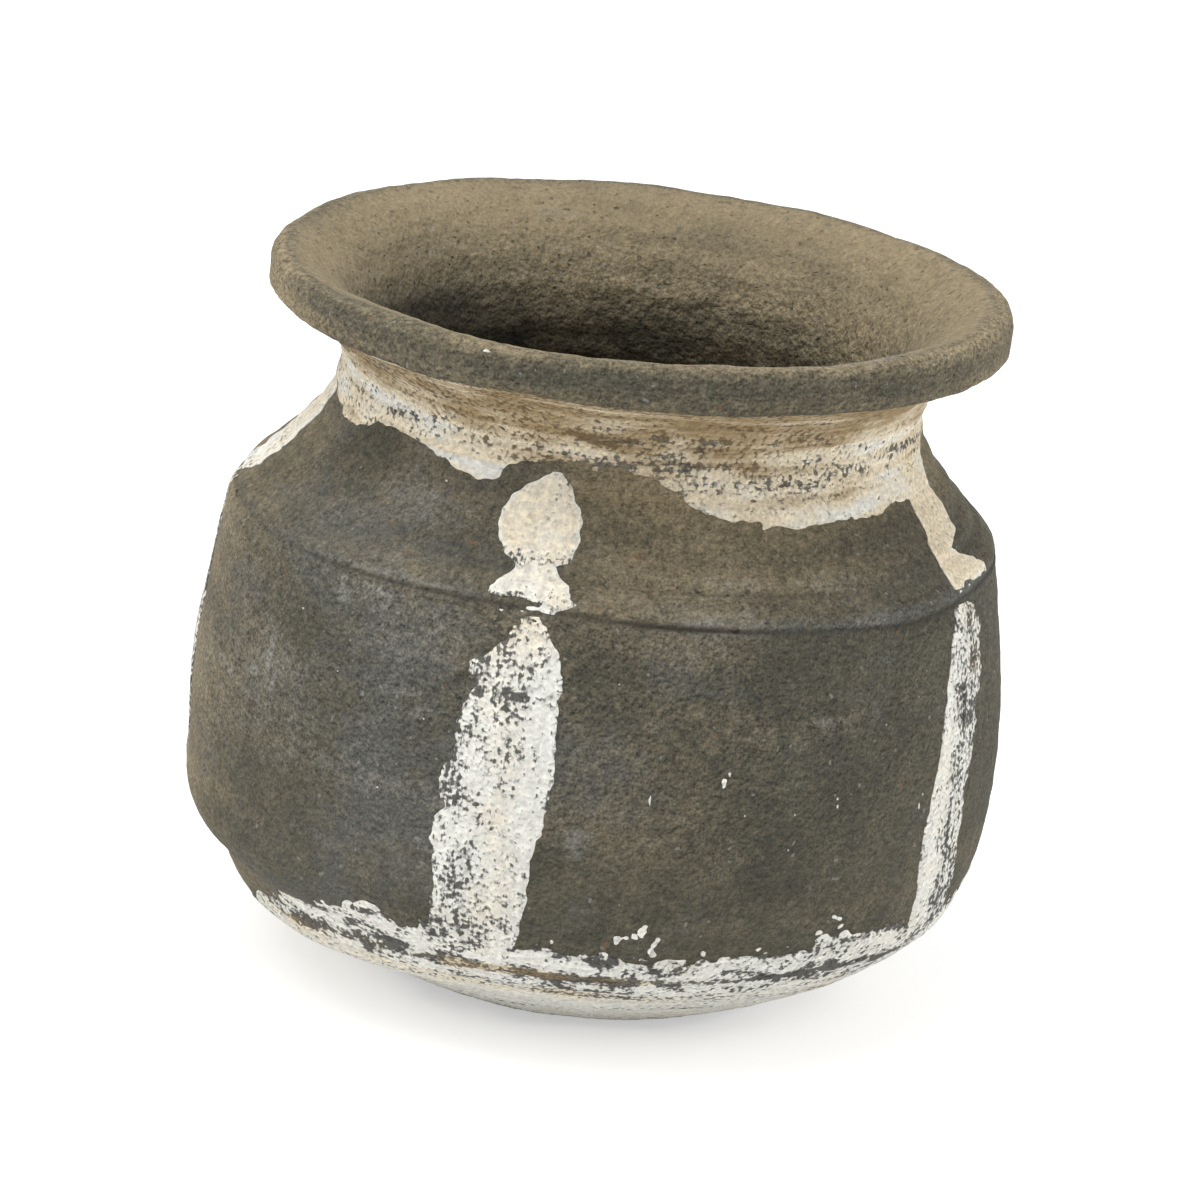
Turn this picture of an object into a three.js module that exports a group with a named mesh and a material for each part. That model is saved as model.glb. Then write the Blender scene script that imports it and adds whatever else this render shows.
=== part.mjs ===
// Hand-built clay water pot with limewash bands, in millimetres, +Z up.
// The origin is the centre of the flat foot, and -Y is the front.
import * as THREE from "three";

// Overall height, and the rise of each stretch of the outer face from the one below.
// The upper wall takes what the others leave.
const POT_HEIGHT = 225;
const BASE_RISE = 34;
const LOWER_WALL_RISE = 54;
const SHOULDER_RISE = 42;
const RIM_RISE = 36;

// Radii of the outer face. A step is how far an edge stands in from the belly.
const FOOT_RADIUS = 58;
const BELLY_RADIUS = 126.5;
const BASE_STEP = 12;
const RIDGE_STEP = 8.3;
const SHOULDER_RUN = 28.7;
const RIM_FLARE = 24.5;

// Clay thickness, the lip and the ledge where the shoulder laps over the wall.
const WALL = 9;
const LIP_HEIGHT = 14;
const LIP_ROUND = 3;
const LIP_FLAT = 5;
const LEDGE_OUT = 1.4;
const LEDGE_HEIGHT = 2;
const BASE_SLOPE_DEGREES = 42;
const SHOULDER_DROP_RATIO = 0.6;

// Lap joints between the sections: half of the wall laps over the other half.
const LAP = 6;
const COLLAR_HALF = 8.5;
const SLIP_GAP = 0.3;

// Limewash coats, held just clear of the clay and of each other.
const COAT_GAP = 0.5;
const COAT_THICKNESS = 0.6;
const STROKE_GAP = 1.2;
const BASE_COAT_START = 4;
const BASE_COAT_OVER = 12;
const NECK_COAT_UNDER = 4;
const NECK_COAT_DROP = 17;
const STRIPE_DEGREES = 13;
const DAUB_WAIST_RATIO = 0.7;

const FACE_STEP = 1;
const SEGMENTS = 48;

const BELLY_HEIGHT = BASE_RISE + LOWER_WALL_RISE;
const NECK_HEIGHT = POT_HEIGHT - RIM_RISE;
const RIDGE_HEIGHT = NECK_HEIGHT - SHOULDER_RISE;
const BASE_COAT_TOP = BASE_RISE + BASE_COAT_OVER;
const RIDGE_RADIUS = BELLY_RADIUS - RIDGE_STEP;
const NECK_RADIUS = RIDGE_RADIUS - SHOULDER_RUN;
const RIM_RADIUS = NECK_RADIUS + RIM_FLARE;
const COLLAR_LOW = NECK_HEIGHT - COLLAR_HALF;
const COLLAR_HIGH = NECK_HEIGHT + COLLAR_HALF;

const point = (r, z) => new THREE.Vector2(r, z);
const radians = THREE.MathUtils.degToRad;
const mix = THREE.MathUtils.lerp;

// A cubic curve between two points. Its handles are fractions of the way along r and along z.
function sweep(start, end, near, far, divisions) {
  const handle = ([r, z]) => point(mix(start.x, end.x, r), mix(start.y, end.y, z));
  const curve = new THREE.CubicBezierCurve(start, handle(near), handle(far), end);
  return curve.getPoints(divisions);
}

// The face of the pot at a depth below its outer skin, from the foot up to the neck.
// The steps are the divisions of its dish, lower wall, upper wall and shoulder.
function skin(depth, [dish, lower, upper, shoulder]) {
  const slope = radians(BASE_SLOPE_DEGREES);
  const foot = point(FOOT_RADIUS, depth);
  const base = point(
    BELLY_RADIUS - BASE_STEP - depth * Math.sin(slope),
    BASE_RISE + depth * Math.cos(slope),
  );
  const belly = point(BELLY_RADIUS - depth, BELLY_HEIGHT);
  const ridge = point(RIDGE_RADIUS - depth, RIDGE_HEIGHT - SHOULDER_DROP_RATIO * depth);
  const neck = point(NECK_RADIUS - depth, NECK_HEIGHT);
  return [
    ...sweep(foot, base, [0.35, 0.22], [0.78, 0.62], dish),
    ...sweep(base, belly, [0.88, 0.18], [1, 0.44], lower).slice(1),
    ...sweep(belly, ridge, [0, 0.37], [0.64, 0.77], upper).slice(1),
    ...sweep(ridge, neck, [0.29, 0.25], [0.97, 0.6], shoulder).slice(1),
  ];
}

const outer = skin(0, [5, 8, 4, 6]);
const inner = skin(WALL, [4, 4, 3, 5]);
const neckOut = outer.at(-1);
const throat = inner.at(-1);
const lipUnder = point(RIM_RADIUS - LIP_ROUND, POT_HEIGHT - LIP_HEIGHT);
const lipTop = point(RIM_RADIUS - LIP_FLAT, POT_HEIGHT);
outer.push(...sweep(neckOut, lipUnder, [0, 0.36], [0.39, 0.86], 6).slice(1));
const funnel = sweep(lipTop, throat, [0.41, 0.07], [0.98, 0.44], 7);

// The lip between its underside and its top, with both edges rounded.
const lip = new THREE.Path();
lip.moveTo(lipUnder.x, lipUnder.y);
lip.quadraticCurveTo(RIM_RADIUS, lipUnder.y, RIM_RADIUS, lipUnder.y + LIP_ROUND);
lip.lineTo(RIM_RADIUS, POT_HEIGHT - LIP_ROUND);
lip.quadraticCurveTo(RIM_RADIUS, POT_HEIGHT, lipTop.x, lipTop.y);
const lipFace = lip.getPoints(3);

// The face that water meets, from the floor of the pot up to the top of the lip.
const wet = [...inner, ...funnel.slice(0, -1).reverse()];

// Radius of a face at a height.
function radiusAt(face, z) {
  const next = Math.max(face.findIndex((p) => p.y >= z), 1);
  const low = face[next - 1];
  const high = face[next];
  return mix(low.x, high.x, (z - low.y) / (high.y - low.y));
}

// The stretch of a face between two heights, from the bottom up.
function stretch(face, low, high) {
  const between = face.filter((p) => p.y > low + SLIP_GAP && p.y < high - SLIP_GAP);
  return [point(radiusAt(face, low), low), ...between, point(radiusAt(face, high), high)];
}

// A lap joint: the tongue of the lower section and the skirt of the upper one around it.
function lapJoint(height) {
  const middle = (z) => (radiusAt(outer, z) + radiusAt(wet, z)) / 2;
  const low = middle(height);
  const high = middle(height + LAP);
  const clear = (SLIP_GAP * Math.hypot(LAP, high - low)) / LAP;
  const skirt = (z) => point(mix(low, high, (z - height) / LAP) + clear, z);
  return {
    height,
    tongue: [point(low, height), point(high, height + LAP)],
    skirt: [skirt(height + SLIP_GAP), skirt(height + LAP + SLIP_GAP)],
  };
}

// Outline of a section between two lap joints, up its outer face and down its inner one.
function section(below, above, face = outer) {
  const start = below.height + SLIP_GAP;
  return [
    ...stretch(face, start, above.height),
    ...above.tongue,
    ...stretch(wet, start + LAP, above.height + LAP).reverse(),
    ...below.skirt.slice().reverse(),
  ];
}

const turn = (outline) => {
  const shape = new THREE.LatheGeometry([...outline, outline[0]], SEGMENTS);
  return shape.rotateX(Math.PI / 2);
};

const clay = new THREE.MeshStandardMaterial({ color: 0x5d5a4f, roughness: 0.9, metalness: 0 });
clay.name = "clay";
const limewash = new THREE.MeshStandardMaterial({ color: 0xe0dccf, roughness: 0.95, metalness: 0 });
limewash.name = "limewash";

const pot = new THREE.Group();
pot.name = "clay_water_pot";

function addPiece(name, geometry, material) {
  const piece = new THREE.Mesh(geometry, material);
  piece.name = name;
  pot.add(piece);
}

const baseJoint = lapJoint(BASE_RISE);
const ridgeJoint = lapJoint(RIDGE_HEIGHT);
const collarJoint = lapJoint(COLLAR_LOW);
const rimJoint = lapJoint(COLLAR_HIGH);

const dishOutline = [
  point(0, 0),
  ...stretch(outer, 0, BASE_RISE),
  ...baseJoint.tongue,
  ...stretch(wet, WALL, BASE_RISE + LAP).reverse(),
  point(0, WALL),
];
addPiece("base_dish", new THREE.LatheGeometry(dishOutline, SEGMENTS).rotateX(Math.PI / 2), clay);
addPiece("body_wall", turn(section(baseJoint, ridgeJoint)), clay);

// The foot of the shoulder stands out over the wall as a ledge.
const ledge = [
  point(RIDGE_RADIUS + LEDGE_OUT, RIDGE_HEIGHT),
  point(RIDGE_RADIUS + LEDGE_OUT, RIDGE_HEIGHT + LEDGE_HEIGHT),
];
const ledgeEnd = RIDGE_HEIGHT + LEDGE_HEIGHT + LEDGE_OUT;
const shoulderFace = [...ledge, ...stretch(outer, ledgeEnd, COLLAR_HIGH)];
addPiece("shoulder", turn(section(ridgeJoint, collarJoint, shoulderFace)), clay);
addPiece("neck_collar", turn(section(collarJoint, rimJoint)), clay);

const rimOutline = [
  ...stretch(outer, COLLAR_HIGH + SLIP_GAP, lipUnder.y),
  ...lipFace.slice(1),
  ...stretch(wet, COLLAR_HIGH + LAP + SLIP_GAP, POT_HEIGHT).reverse().slice(1),
  ...rimJoint.skirt.slice().reverse(),
];
addPiece("rim", turn(rimOutline), clay);

// A place on the outer face at an angle from the front and a height, raised off the clay.
function onFace(angle, z, raise) {
  const lean = radiusAt(outer, z + FACE_STEP) - radiusAt(outer, z);
  const length = Math.hypot(FACE_STEP, lean);
  const r = radiusAt(outer, z) + (raise * FACE_STEP) / length;
  return [r * Math.sin(angle), -r * Math.cos(angle), z - (raise * lean) / length];
}

// A thin coat over a grid of places: across(u, v) gives the angle and the height.
// A coat that goes all the way round has no side edges.
function coat(across, columns, rows, round) {
  const wide = round ? columns : columns + 1;
  const positions = [];
  for (const raise of [COAT_GAP + COAT_THICKNESS, COAT_GAP]) {
    for (let row = 0; row <= rows; row += 1) {
      for (let column = 0; column < wide; column += 1) {
        const [angle, z] = across(column / columns, row / rows);
        positions.push(...onFace(radians(angle), z, raise));
      }
    }
  }
  const layer = wide * (rows + 1);
  const at = (side, row, column) => side * layer + row * wide + (column % wide);
  const faces = [];
  const quad = (a, b, c, d) => faces.push(a, b, c, a, c, d);
  for (let column = 0; column < columns; column += 1) {
    const next = column + 1;
    for (let row = 0; row < rows; row += 1) {
      quad(at(0, row, column), at(0, row, next), at(0, row + 1, next), at(0, row + 1, column));
      quad(at(1, row, column), at(1, row + 1, column), at(1, row + 1, next), at(1, row, next));
    }
    quad(at(1, 0, column), at(1, 0, next), at(0, 0, next), at(0, 0, column));
    quad(at(0, rows, column), at(0, rows, next), at(1, rows, next), at(1, rows, column));
  }
  for (let row = 0; row < rows && !round; row += 1) {
    quad(at(1, row, 0), at(0, row, 0), at(0, row + 1, 0), at(1, row + 1, 0));
    const end = columns;
    quad(at(0, row, end), at(1, row, end), at(1, row + 1, end), at(0, row + 1, end));
  }
  const geometry = new THREE.BufferGeometry();
  geometry.setAttribute("position", new THREE.Float32BufferAttribute(positions, 3));
  geometry.setIndex(faces);
  geometry.computeVertexNormals();
  return geometry;
}

const baseCoat = (u, v) => [360 * u, mix(BASE_COAT_START, BASE_COAT_TOP, v)];
addPiece("limewash_base_coat", coat(baseCoat, SEGMENTS, 10, true), limewash);

// Lobes of the neck band: angle from the front, and how much of the full drop its edge has there.
const lobes = [
  [0, 0.06], [18, 0.76], [40, 1], [60, 0.94], [84, 0.47], [112, 0.76], [142, 0.35], [166, 0.7],
  [196, 0.3], [226, 0.82], [254, 0.53], [280, 0.53], [302, 0.3], [332, 0.65], [345, 0.12], [360, 0.06],
];
const lobeLine = new THREE.SplineCurve(
  lobes.map(([angle, share]) => point(angle, share * NECK_COAT_DROP)),
);
const lobeEdge = lobeLine.getPoints(SEGMENTS * 2);

// Height of the lower edge of the neck band at an angle.
function neckEdge(angle) {
  const around = THREE.MathUtils.euclideanModulo(angle, 360);
  const next = Math.max(lobeEdge.findIndex((p) => p.x >= around), 1);
  const low = lobeEdge[next - 1];
  const high = lobeEdge[next];
  return NECK_HEIGHT - mix(low.y, high.y, (around - low.x) / (high.x - low.x));
}

const neckCoatTop = lipUnder.y - NECK_COAT_UNDER;
const neckBand = (u, v) => [360 * u, mix(neckEdge(360 * u), neckCoatTop, v)];
addPiece("limewash_neck_band", coat(neckBand, SEGMENTS, 5, true), limewash);

// Five brush strokes run down the pot. Each breaks at the ledge into a daub and a stripe.
// For each: name, angle at the neck, at the ledge and at the base.
const strokes = [
  ["front", -13.5, -12, -14],
  ["right", 70, 66, 59],
  ["back_right", 138, 136, 131],
  ["back_left", 207, 206, 202],
  ["left", 271.5, 269, 266],
];
const daubLow = ledgeEnd + STROKE_GAP;
const stripeHigh = RIDGE_HEIGHT - STROKE_GAP;
const stripeLow = BASE_COAT_TOP + STROKE_GAP;
for (const [name, neckAngle, ledgeAngle, baseAngle] of strokes) {
  const daub = (u, v) => {
    const waist = mix(1, DAUB_WAIST_RATIO, Math.sin(Math.PI * v));
    const angle = mix(ledgeAngle, neckAngle, v) + (u - 0.5) * STRIPE_DEGREES * waist;
    return [angle, mix(daubLow, neckEdge(angle) - STROKE_GAP, v)];
  };
  addPiece(`limewash_daub_${name}`, coat(daub, 3, 5, false), limewash);
  const stripe = (u, v) => {
    const angle = mix(baseAngle, ledgeAngle, v) + (u - 0.5) * STRIPE_DEGREES;
    return [angle, mix(stripeLow, stripeHigh, v)];
  };
  addPiece(`limewash_stripe_${name}`, coat(stripe, 3, 12, false), limewash);
}

export default pot;
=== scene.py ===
"""Clay water pot, hand-built from five clay sections and brushed with limewash."""

import math

import bpy
import numpy as np
from mathutils import Matrix, Vector


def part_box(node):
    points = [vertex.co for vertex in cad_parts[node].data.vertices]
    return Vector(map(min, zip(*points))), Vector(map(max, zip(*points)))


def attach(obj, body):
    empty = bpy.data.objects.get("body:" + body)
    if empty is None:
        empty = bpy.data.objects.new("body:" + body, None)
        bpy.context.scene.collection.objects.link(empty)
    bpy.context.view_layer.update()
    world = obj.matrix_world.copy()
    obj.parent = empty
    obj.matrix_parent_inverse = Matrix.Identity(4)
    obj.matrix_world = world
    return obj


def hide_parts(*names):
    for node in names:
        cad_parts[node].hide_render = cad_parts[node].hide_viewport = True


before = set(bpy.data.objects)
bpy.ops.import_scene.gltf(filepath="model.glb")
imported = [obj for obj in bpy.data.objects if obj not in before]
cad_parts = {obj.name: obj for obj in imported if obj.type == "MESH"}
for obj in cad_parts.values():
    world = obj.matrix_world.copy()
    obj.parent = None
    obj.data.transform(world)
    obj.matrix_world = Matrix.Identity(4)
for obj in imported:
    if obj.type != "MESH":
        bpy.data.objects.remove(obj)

bl_info = {
    "name": "Clay Water Pot",
    "version": (1, 0, 0),
    "blender": (4, 5, 0),
    "location": "View3D > Sidebar > Pot",
    "description": "Builds a hand-made clay water pot with limewash bands and strokes",
    "category": "Add Mesh",
}

MM = 0.001
TURN = 2.0 * np.pi

# Points round each clay section.
COLUMNS = {"base_dish": 480, "body_wall": 620, "shoulder": 640, "neck_collar": 560, "rim": 640}

# Rows near the ledge: how far below and above it they reach, their step, and the least step.
LEDGE_BELOW, LEDGE_ABOVE, LEDGE_STEP, LEAST_STEP = 6 * MM, 8 * MM, 0.4 * MM, 0.12 * MM

# Grid cell of each kind of coat in mm, and the room in degrees beside a stroke on its grid.
NECK_CELL, STROKE_CELL, UNDER_CELL, CORNER_CELL = 0.74, 0.5, 1.15, 0.62
STROKE_ROOM = 3

# Offsets at which a noise is read again: the difference of the two is painted light and shade of small
# relief.
PAINTED_LIGHT_SHIFT = (0.2 * MM, 0.1 * MM, -0.45 * MM)
COARSE_PAINTED_LIGHT_SHIFT = (0.0, 0.3 * MM, -0.8 * MM)

# Half the width of the floor in metres, and the glow that lifts the floor to white.
FLOOR_REACH = 6.0
FLOOR_LIFT = 0.46

# Lamps: name, place and width in metres, and share of the key power.
LAMPS = (
    ("soft_box", (-0.55, -0.35, 1.85), 1.8, 1.0),
    ("side_fill", (-1.7, -0.9, 0.75), 1.2, 0.16),
    ("right_fill", (1.8, 0.1, 0.65), 1.2, 0.38),
)

# Brush strokes, read up the pot: height in mm, then the left and right edge in degrees
# from the front. A daub lies on the shoulder, and a stripe on the wall.
FRONT_DAUB = (
    (149.4, -13.0, -8.0), (150.4, -16.6, -6.2), (151.6, -17.6, -5.0), (153, -17.9, -5.4),
    (156, -16.8, -6.6), (158.5, -15.6, -8.6), (160, -16.0, -9.3), (161, -18.0, -6.8),
    (165, -20.0, -6.0), (170, -20.8, -6.3), (175, -20.0, -7.0), (180, -16.4, -8.8),
    (182, -14.4, -10.4), (183.2, -12.8, -11.4),
)
FRONT_STRIPE = (
    (40, -19.5, -9.0), (50, -20.4, -8.0), (57, -20.2, -7.6), (66, -20.2, -7.2),
    (75, -20.5, -7.0), (84, -20.5, -6.1), (92, -20.0, -5.5), (100, -19.5, -5.0),
    (108, -19.0, -5.0), (117, -18.6, -5.3), (122, -18.4, -5.6), (124.5, -17.0, -5.6),
    (127, -16.6, -5.5), (129, -18.6, -5.5), (130.5, -19.0, -5.5), (134, -17.0, -5.7),
    (138, -14.8, -6.3), (140, -13.4, -7.2), (142, -14.2, -8.0), (144.4, -12.6, -8.8),
    (147, -12.6, -10.0),
)
RIGHT_DAUB = (
    (148.4, 61.4, 75.2), (150, 61.2, 75.6), (153, 61.6, 73.6), (155.5, 62.0, 70.4),
    (157.2, 62.2, 68.6), (158.6, 61.9, 71.6), (160, 62.9, 75.4), (162, 63.8, 76.6),
    (166, 64.3, 76.8), (170, 64.9, 76.7), (172, 65.2, 76.2), (176, 64.5, 75.8),
    (183, 64.0, 75.0), (190, 64.5, 74.0),
)
RIGHT_STRIPE = (
    (40, 54.6, 64.0), (50, 54.1, 64.0), (58, 53.8, 64.5), (70, 53.2, 64.2),
    (80, 53.6, 64.6), (90, 54.8, 65.2), (100, 56.0, 66.6), (113, 57.2, 68.0),
    (122, 57.8, 69.4), (130, 58.8, 70.2), (135, 59.2, 69.7), (140, 60.2, 68.5),
    (142, 60.9, 68.0), (144.6, 62.6, 66.9),
)
LEFT_DAUB = (
    (148.6, -97.0, -88.6), (150.5, -96.5, -86.0), (154, -96.0, -84.0), (158, -95.5, -83.0),
    (165, -95.5, -82.0), (172, -95.0, -81.5), (183, -94.5, -81.5), (188, -94.0, -82.0),
)
LEFT_STRIPE = (
    (40, -100.5, -88.5), (58, -100.5, -87.0), (75, -100.0, -85.2), (92, -99.5, -84.8),
    (106, -99.0, -86.0), (120, -98.5, -86.8), (134, -97.5, -87.0), (146, -95.0, -89.0),
)
BACK_RIGHT_DAUB = (
    (150.3, 130.5, 142.5), (153, 129.8, 141.6), (156.5, 131.0, 139.8), (160, 131.5, 141.6),
    (165, 131.0, 143.6), (171, 131.6, 144.6), (178, 132.4, 144.4), (187, 133.0, 143.8),
)
BACK_RIGHT_STRIPE = (
    (40, 125.5, 136.5), (56, 124.6, 137.6), (72, 125.2, 138.4), (90, 126.6, 139.4),
    (108, 128.0, 140.8), (124, 129.2, 142.0), (136, 130.6, 142.2), (146.6, 133.0, 140.0),
)
BACK_LEFT_DAUB = (
    (150.3, 200.5, 212.0), (154, 201.4, 211.0), (158, 202.4, 209.8), (163, 200.8, 211.6),
    (169, 200.2, 213.4), (175, 200.8, 213.8), (180, 203.0, 212.0), (181.6, 205.5, 209.0),
)
BACK_LEFT_STRIPE = (
    (40, 196.5, 207.0), (54, 195.4, 207.8), (70, 195.6, 208.6), (88, 196.4, 209.6),
    (104, 197.6, 210.4), (120, 199.0, 211.4), (134, 200.4, 212.0), (146.4, 203.0, 209.5),
)

# Finish of each stroke. Daubs: share of wear and ochre tinge. Stripes: side that ran dry,
# share of wear, bareness, how much barer the dry side is, and height of the gap in mm.
# MOST_WEAR caps the wear of a stripe.
DAUBS = {
    "front": (FRONT_DAUB, 1.0, 0.27),
    "right": (RIGHT_DAUB, 0.3, 0.52),
    "left": (LEFT_DAUB, 0.6, 0.20),
    "back_right": (BACK_RIGHT_DAUB, 0.7, 0.24),
    "back_left": (BACK_LEFT_DAUB, 0.9, 0.18),
}
STRIPES = {
    "front": (FRONT_STRIPE, -1.0, 0.90, 0.29, 0.12, 124),
    "right": (RIGHT_STRIPE, 1.0, 0.30, 0.37, 0.22, 109),
    "left": (LEFT_STRIPE, 1.0, 0.60, 0.35, 0.22, 112),
    "back_right": (BACK_RIGHT_STRIPE, -1.0, 0.70, 0.31, 0.16, 98),
    "back_left": (BACK_LEFT_STRIPE, 1.0, 0.80, 0.30, 0.14, 118),
}
MOST_WEAR = 0.68

# Lower edge of the neck band and upper edge of the base coat: angle from the front in
# degrees, then height in mm.
NECK_EDGE = (
    (-92, 182), (-80, 182), (-73, 180), (-68, 179.2), (-62, 179.6), (-58, 181),
    (-55, 183), (-50, 184), (-45, 183), (-40, 181.4), (-36, 180.4), (-32, 179),
    (-27, 178), (-24, 178.6), (-22.8, 180.6), (-21.8, 183.2), (-18, 185), (-14, 186.2),
    (-8, 187), (0, 186.8), (4, 186), (8, 184.4), (11, 181.6), (13, 178.6), (16, 176.4),
    (20, 174.6), (25, 173.2), (32, 172.2), (40, 171.6), (50, 171), (55, 172), (58, 174),
    (61, 173.6), (64, 172.4),
    (76, 172), (78, 178), (82, 183), (90, 184), (100, 179), (112, 176), (122, 180),
    (131, 184), (142, 186), (150, 181), (158, 177.6), (168, 178.4), (176, 183), (186, 186),
    (197, 184.6), (206, 181), (214, 177), (226, 174.6), (238, 177), (247, 181), (256, 181),
    (262, 180), (268, 182),
)
BASE_EDGE = (
    (-180, 42), (-160, 45), (-140, 40), (-120, 44), (-105, 41), (-96, 42), (-90, 40),
    (-86, 32), (-82, 25), (-76, 24), (-70, 24.5), (-65, 27.4), (-60, 31.2), (-55, 35),
    (-50, 38), (-45, 40.4), (-40, 42),
    (-35, 45.4), (-30, 47.6), (-25, 48.6), (-20, 48.4), (-8, 47), (-2, 45.8), (5, 44.6),
    (12, 44.8), (20, 44.2), (25, 45), (30, 46.4), (36, 47.6), (42, 48.2), (50, 48.4),
    (58, 47.4), (66, 46.4), (78, 44),
    (90, 45), (110, 41), (130, 46), (150, 42), (165, 46), (180, 42),
)

# Top of the neck band, foot and top of the coat underneath, and foot of the corner coat, in mm.
NECK_TOP, UNDER_LOW, UNDER_TOP, CORNER_LOW = 209.6, 3.4, 31.0, 27.4

# Dark blotches on the neck band: angle from the front in degrees, height in mm, half width
# in degrees and half height in mm.
NECK_BLOTCHES = (
    (-5.0, 195.4, 2.6, 0.9), (0.6, 196.2, 2.2, 0.8), (6.6, 197.8, 1.7, 1.4), (14.0, 194.4, 1.1, 1.1),
    (-9.5, 196.6, 1.2, 0.7), (170, 195.0, 3.0, 1.0), (-128, 194.0, 2.4, 1.0), (98, 196.4, 2.0, 0.9),
)

# Line round the base where the coat is rubbed through: angle from the front in degrees,
# height and half thickness in mm, strength, and how brown the clay is there.
RUBBED_LINE = (
    (-180, 36, 2.2, 0.60, 0.4), (-130, 34, 2.4, 0.70, 0.7), (-90, 26, 2.4, 0.50, 0.3),
    (-70, 25, 2.4, 0.70, 0.5), (-58, 28.4, 2.8, 1.05, 0.6), (-46, 31.6, 3.2, 1.05, 0.3),
    (-36, 33.6, 3.0, 0.80, 0.1), (-24, 35.2, 3.0, 0.76, 0.1), (-16, 36, 2.7, 1.10, 0.75),
    (6, 36.2, 2.2, 1.05, 0.75), (13, 36.4, 1.6, 0.90, 0.3), (30, 36.6, 1.4, 0.90, 0.1),
    (46, 36.8, 1.4, 0.80, 0.1), (58, 37, 1.6, 0.35, 0.0), (80, 36, 2.0, 0.50, 0.5),
    (130, 35, 2.2, 0.75, 0.8), (180, 36, 2.2, 0.60, 0.4),
)

# Pale scuffs on the wall: angle from the front in degrees, height in mm, half width in
# degrees, half height in mm and strength.
SCUFFS = (
    (-52.6, 114, 0.5, 7.0, 0.40), (-50.8, 106, 0.4, 5.0, 0.36), (-56.0, 107, 1.2, 1.6, 0.36),
    (-45.0, 98, 2.0, 3.0, 0.20), (-47.0, 84, 2.6, 2.4, 0.14), (-25.0, 112.6, 1.0, 1.6, 0.34),
    (-1.4, 82.6, 1.8, 3.2, 0.36), (-1.0, 77.5, 1.0, 1.4, 0.30), (22.6, 101, 1.5, 0.9, 0.30),
    (31.2, 126, 2.0, 4.0, 0.16), (32.6, 119, 1.0, 1.6, 0.18), (-41.6, 143.6, 0.6, 3.4, 0.30),
    (-40.2, 138.8, 1.0, 1.3, 0.32), (-47.0, 131.2, 1.4, 0.9, 0.26), (13.0, 103, 1.4, 1.6, 0.14),
    (-24.0, 140, 2.4, 2.0, 0.14), (112, 96, 2.0, 3.0, 0.20), (150, 118, 1.0, 6.0, 0.24),
    (-120, 104, 2.4, 2.6, 0.20), (-148, 126, 0.8, 5.0, 0.22), (172, 84, 2.2, 2.0, 0.18),
    (-26.0, 122, 9.0, 18.0, 0.13),
)

# Splashes of limewash: angle from the front in degrees, height, width and length in mm.
BASE_SPLASHES = (
    (3.5, 46.8, 1.9, 1.7), (5.4, 51.8, 1.7, 1.3), (9.3, 55.8, 1.7, 2.4), (10.9, 52.0, 1.9, 2.4),
    (7.0, 52.2, 1.5, 1.3), (8.3, 53.0, 1.4, 1.6), (11.0, 48.8, 1.9, 1.7), (18.1, 48.0, 1.5, 2.8),
    (22.0, 47.6, 1.3, 1.3), (26.2, 47.8, 1.6, 2.6), (36.0, 51.4, 1.8, 2.2), (38.2, 56.6, 1.3, 1.2),
    (39.4, 53.0, 1.4, 1.4), (-3.0, 49.0, 1.5, 1.2), (-35.0, 46.0, 1.8, 1.4), (-30.0, 49.4, 1.6, 1.2),
    (47.0, 51.8, 1.4, 1.2), (70.0, 48.0, 1.6, 1.8), (-112, 46.0, 1.8, 1.6), (104, 45.6, 1.6, 1.8),
    (158, 48.6, 1.8, 1.8), (-150, 45.0, 1.6, 1.6),
)
WALL_SPLASHES = (
    (-22.3, 223.0, 2.6, 1.3), (18.2, 103.0, 1.7, 3.6), (18.9, 105.6, 0.9, 1.6),
    (8.1, 97.2, 0.8, 3.4), (35.6, 95.8, 0.8, 0.9), (35.7, 93.4, 0.8, 1.4), (29.0, 92.2, 0.6, 0.8),
    (21.6, 92.6, 0.6, 0.7), (51.6, 87.6, 0.9, 2.4), (52.3, 91.0, 0.7, 1.0), (28.6, 81.0, 0.6, 0.6),
    (-33.2, 174.8, 1.0, 0.7), (-29.6, 88.0, 0.7, 0.6), (-24.0, 112.0, 0.6, 0.6), (-48.0, 131.5, 0.8, 0.6),
    (63.0, 147.9, 2.0, 0.8), (66.4, 148.2, 1.6, 0.7), (-12.4, 148.4, 1.2, 0.7), (-15.4, 147.8, 1.4, 0.8),
    (-39.0, 118.0, 0.5, 0.5), (44.0, 116.0, 0.5, 0.5), (2.5, 131.0, 0.5, 0.5), (100, 104.0, 0.9, 1.8),
    (160, 92.0, 1.0, 2.4), (176, 120.0, 0.8, 1.0), (-128, 88.0, 0.9, 1.5), (-160, 106.0, 0.7, 0.7),
)


def length(name, description, default):
    """A setting in metres."""
    return bpy.props.FloatProperty(name=name, description=description, unit="LENGTH", default=default)


def tilt(name, description, degrees):
    """A setting for an angle."""
    default = math.radians(degrees)
    return bpy.props.FloatProperty(name=name, description=description, subtype="ANGLE", default=default)


def tint(name, description, default):
    """A setting for a colour."""
    return bpy.props.FloatVectorProperty(
        name=name, description=description, subtype="COLOR", default=default)


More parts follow.
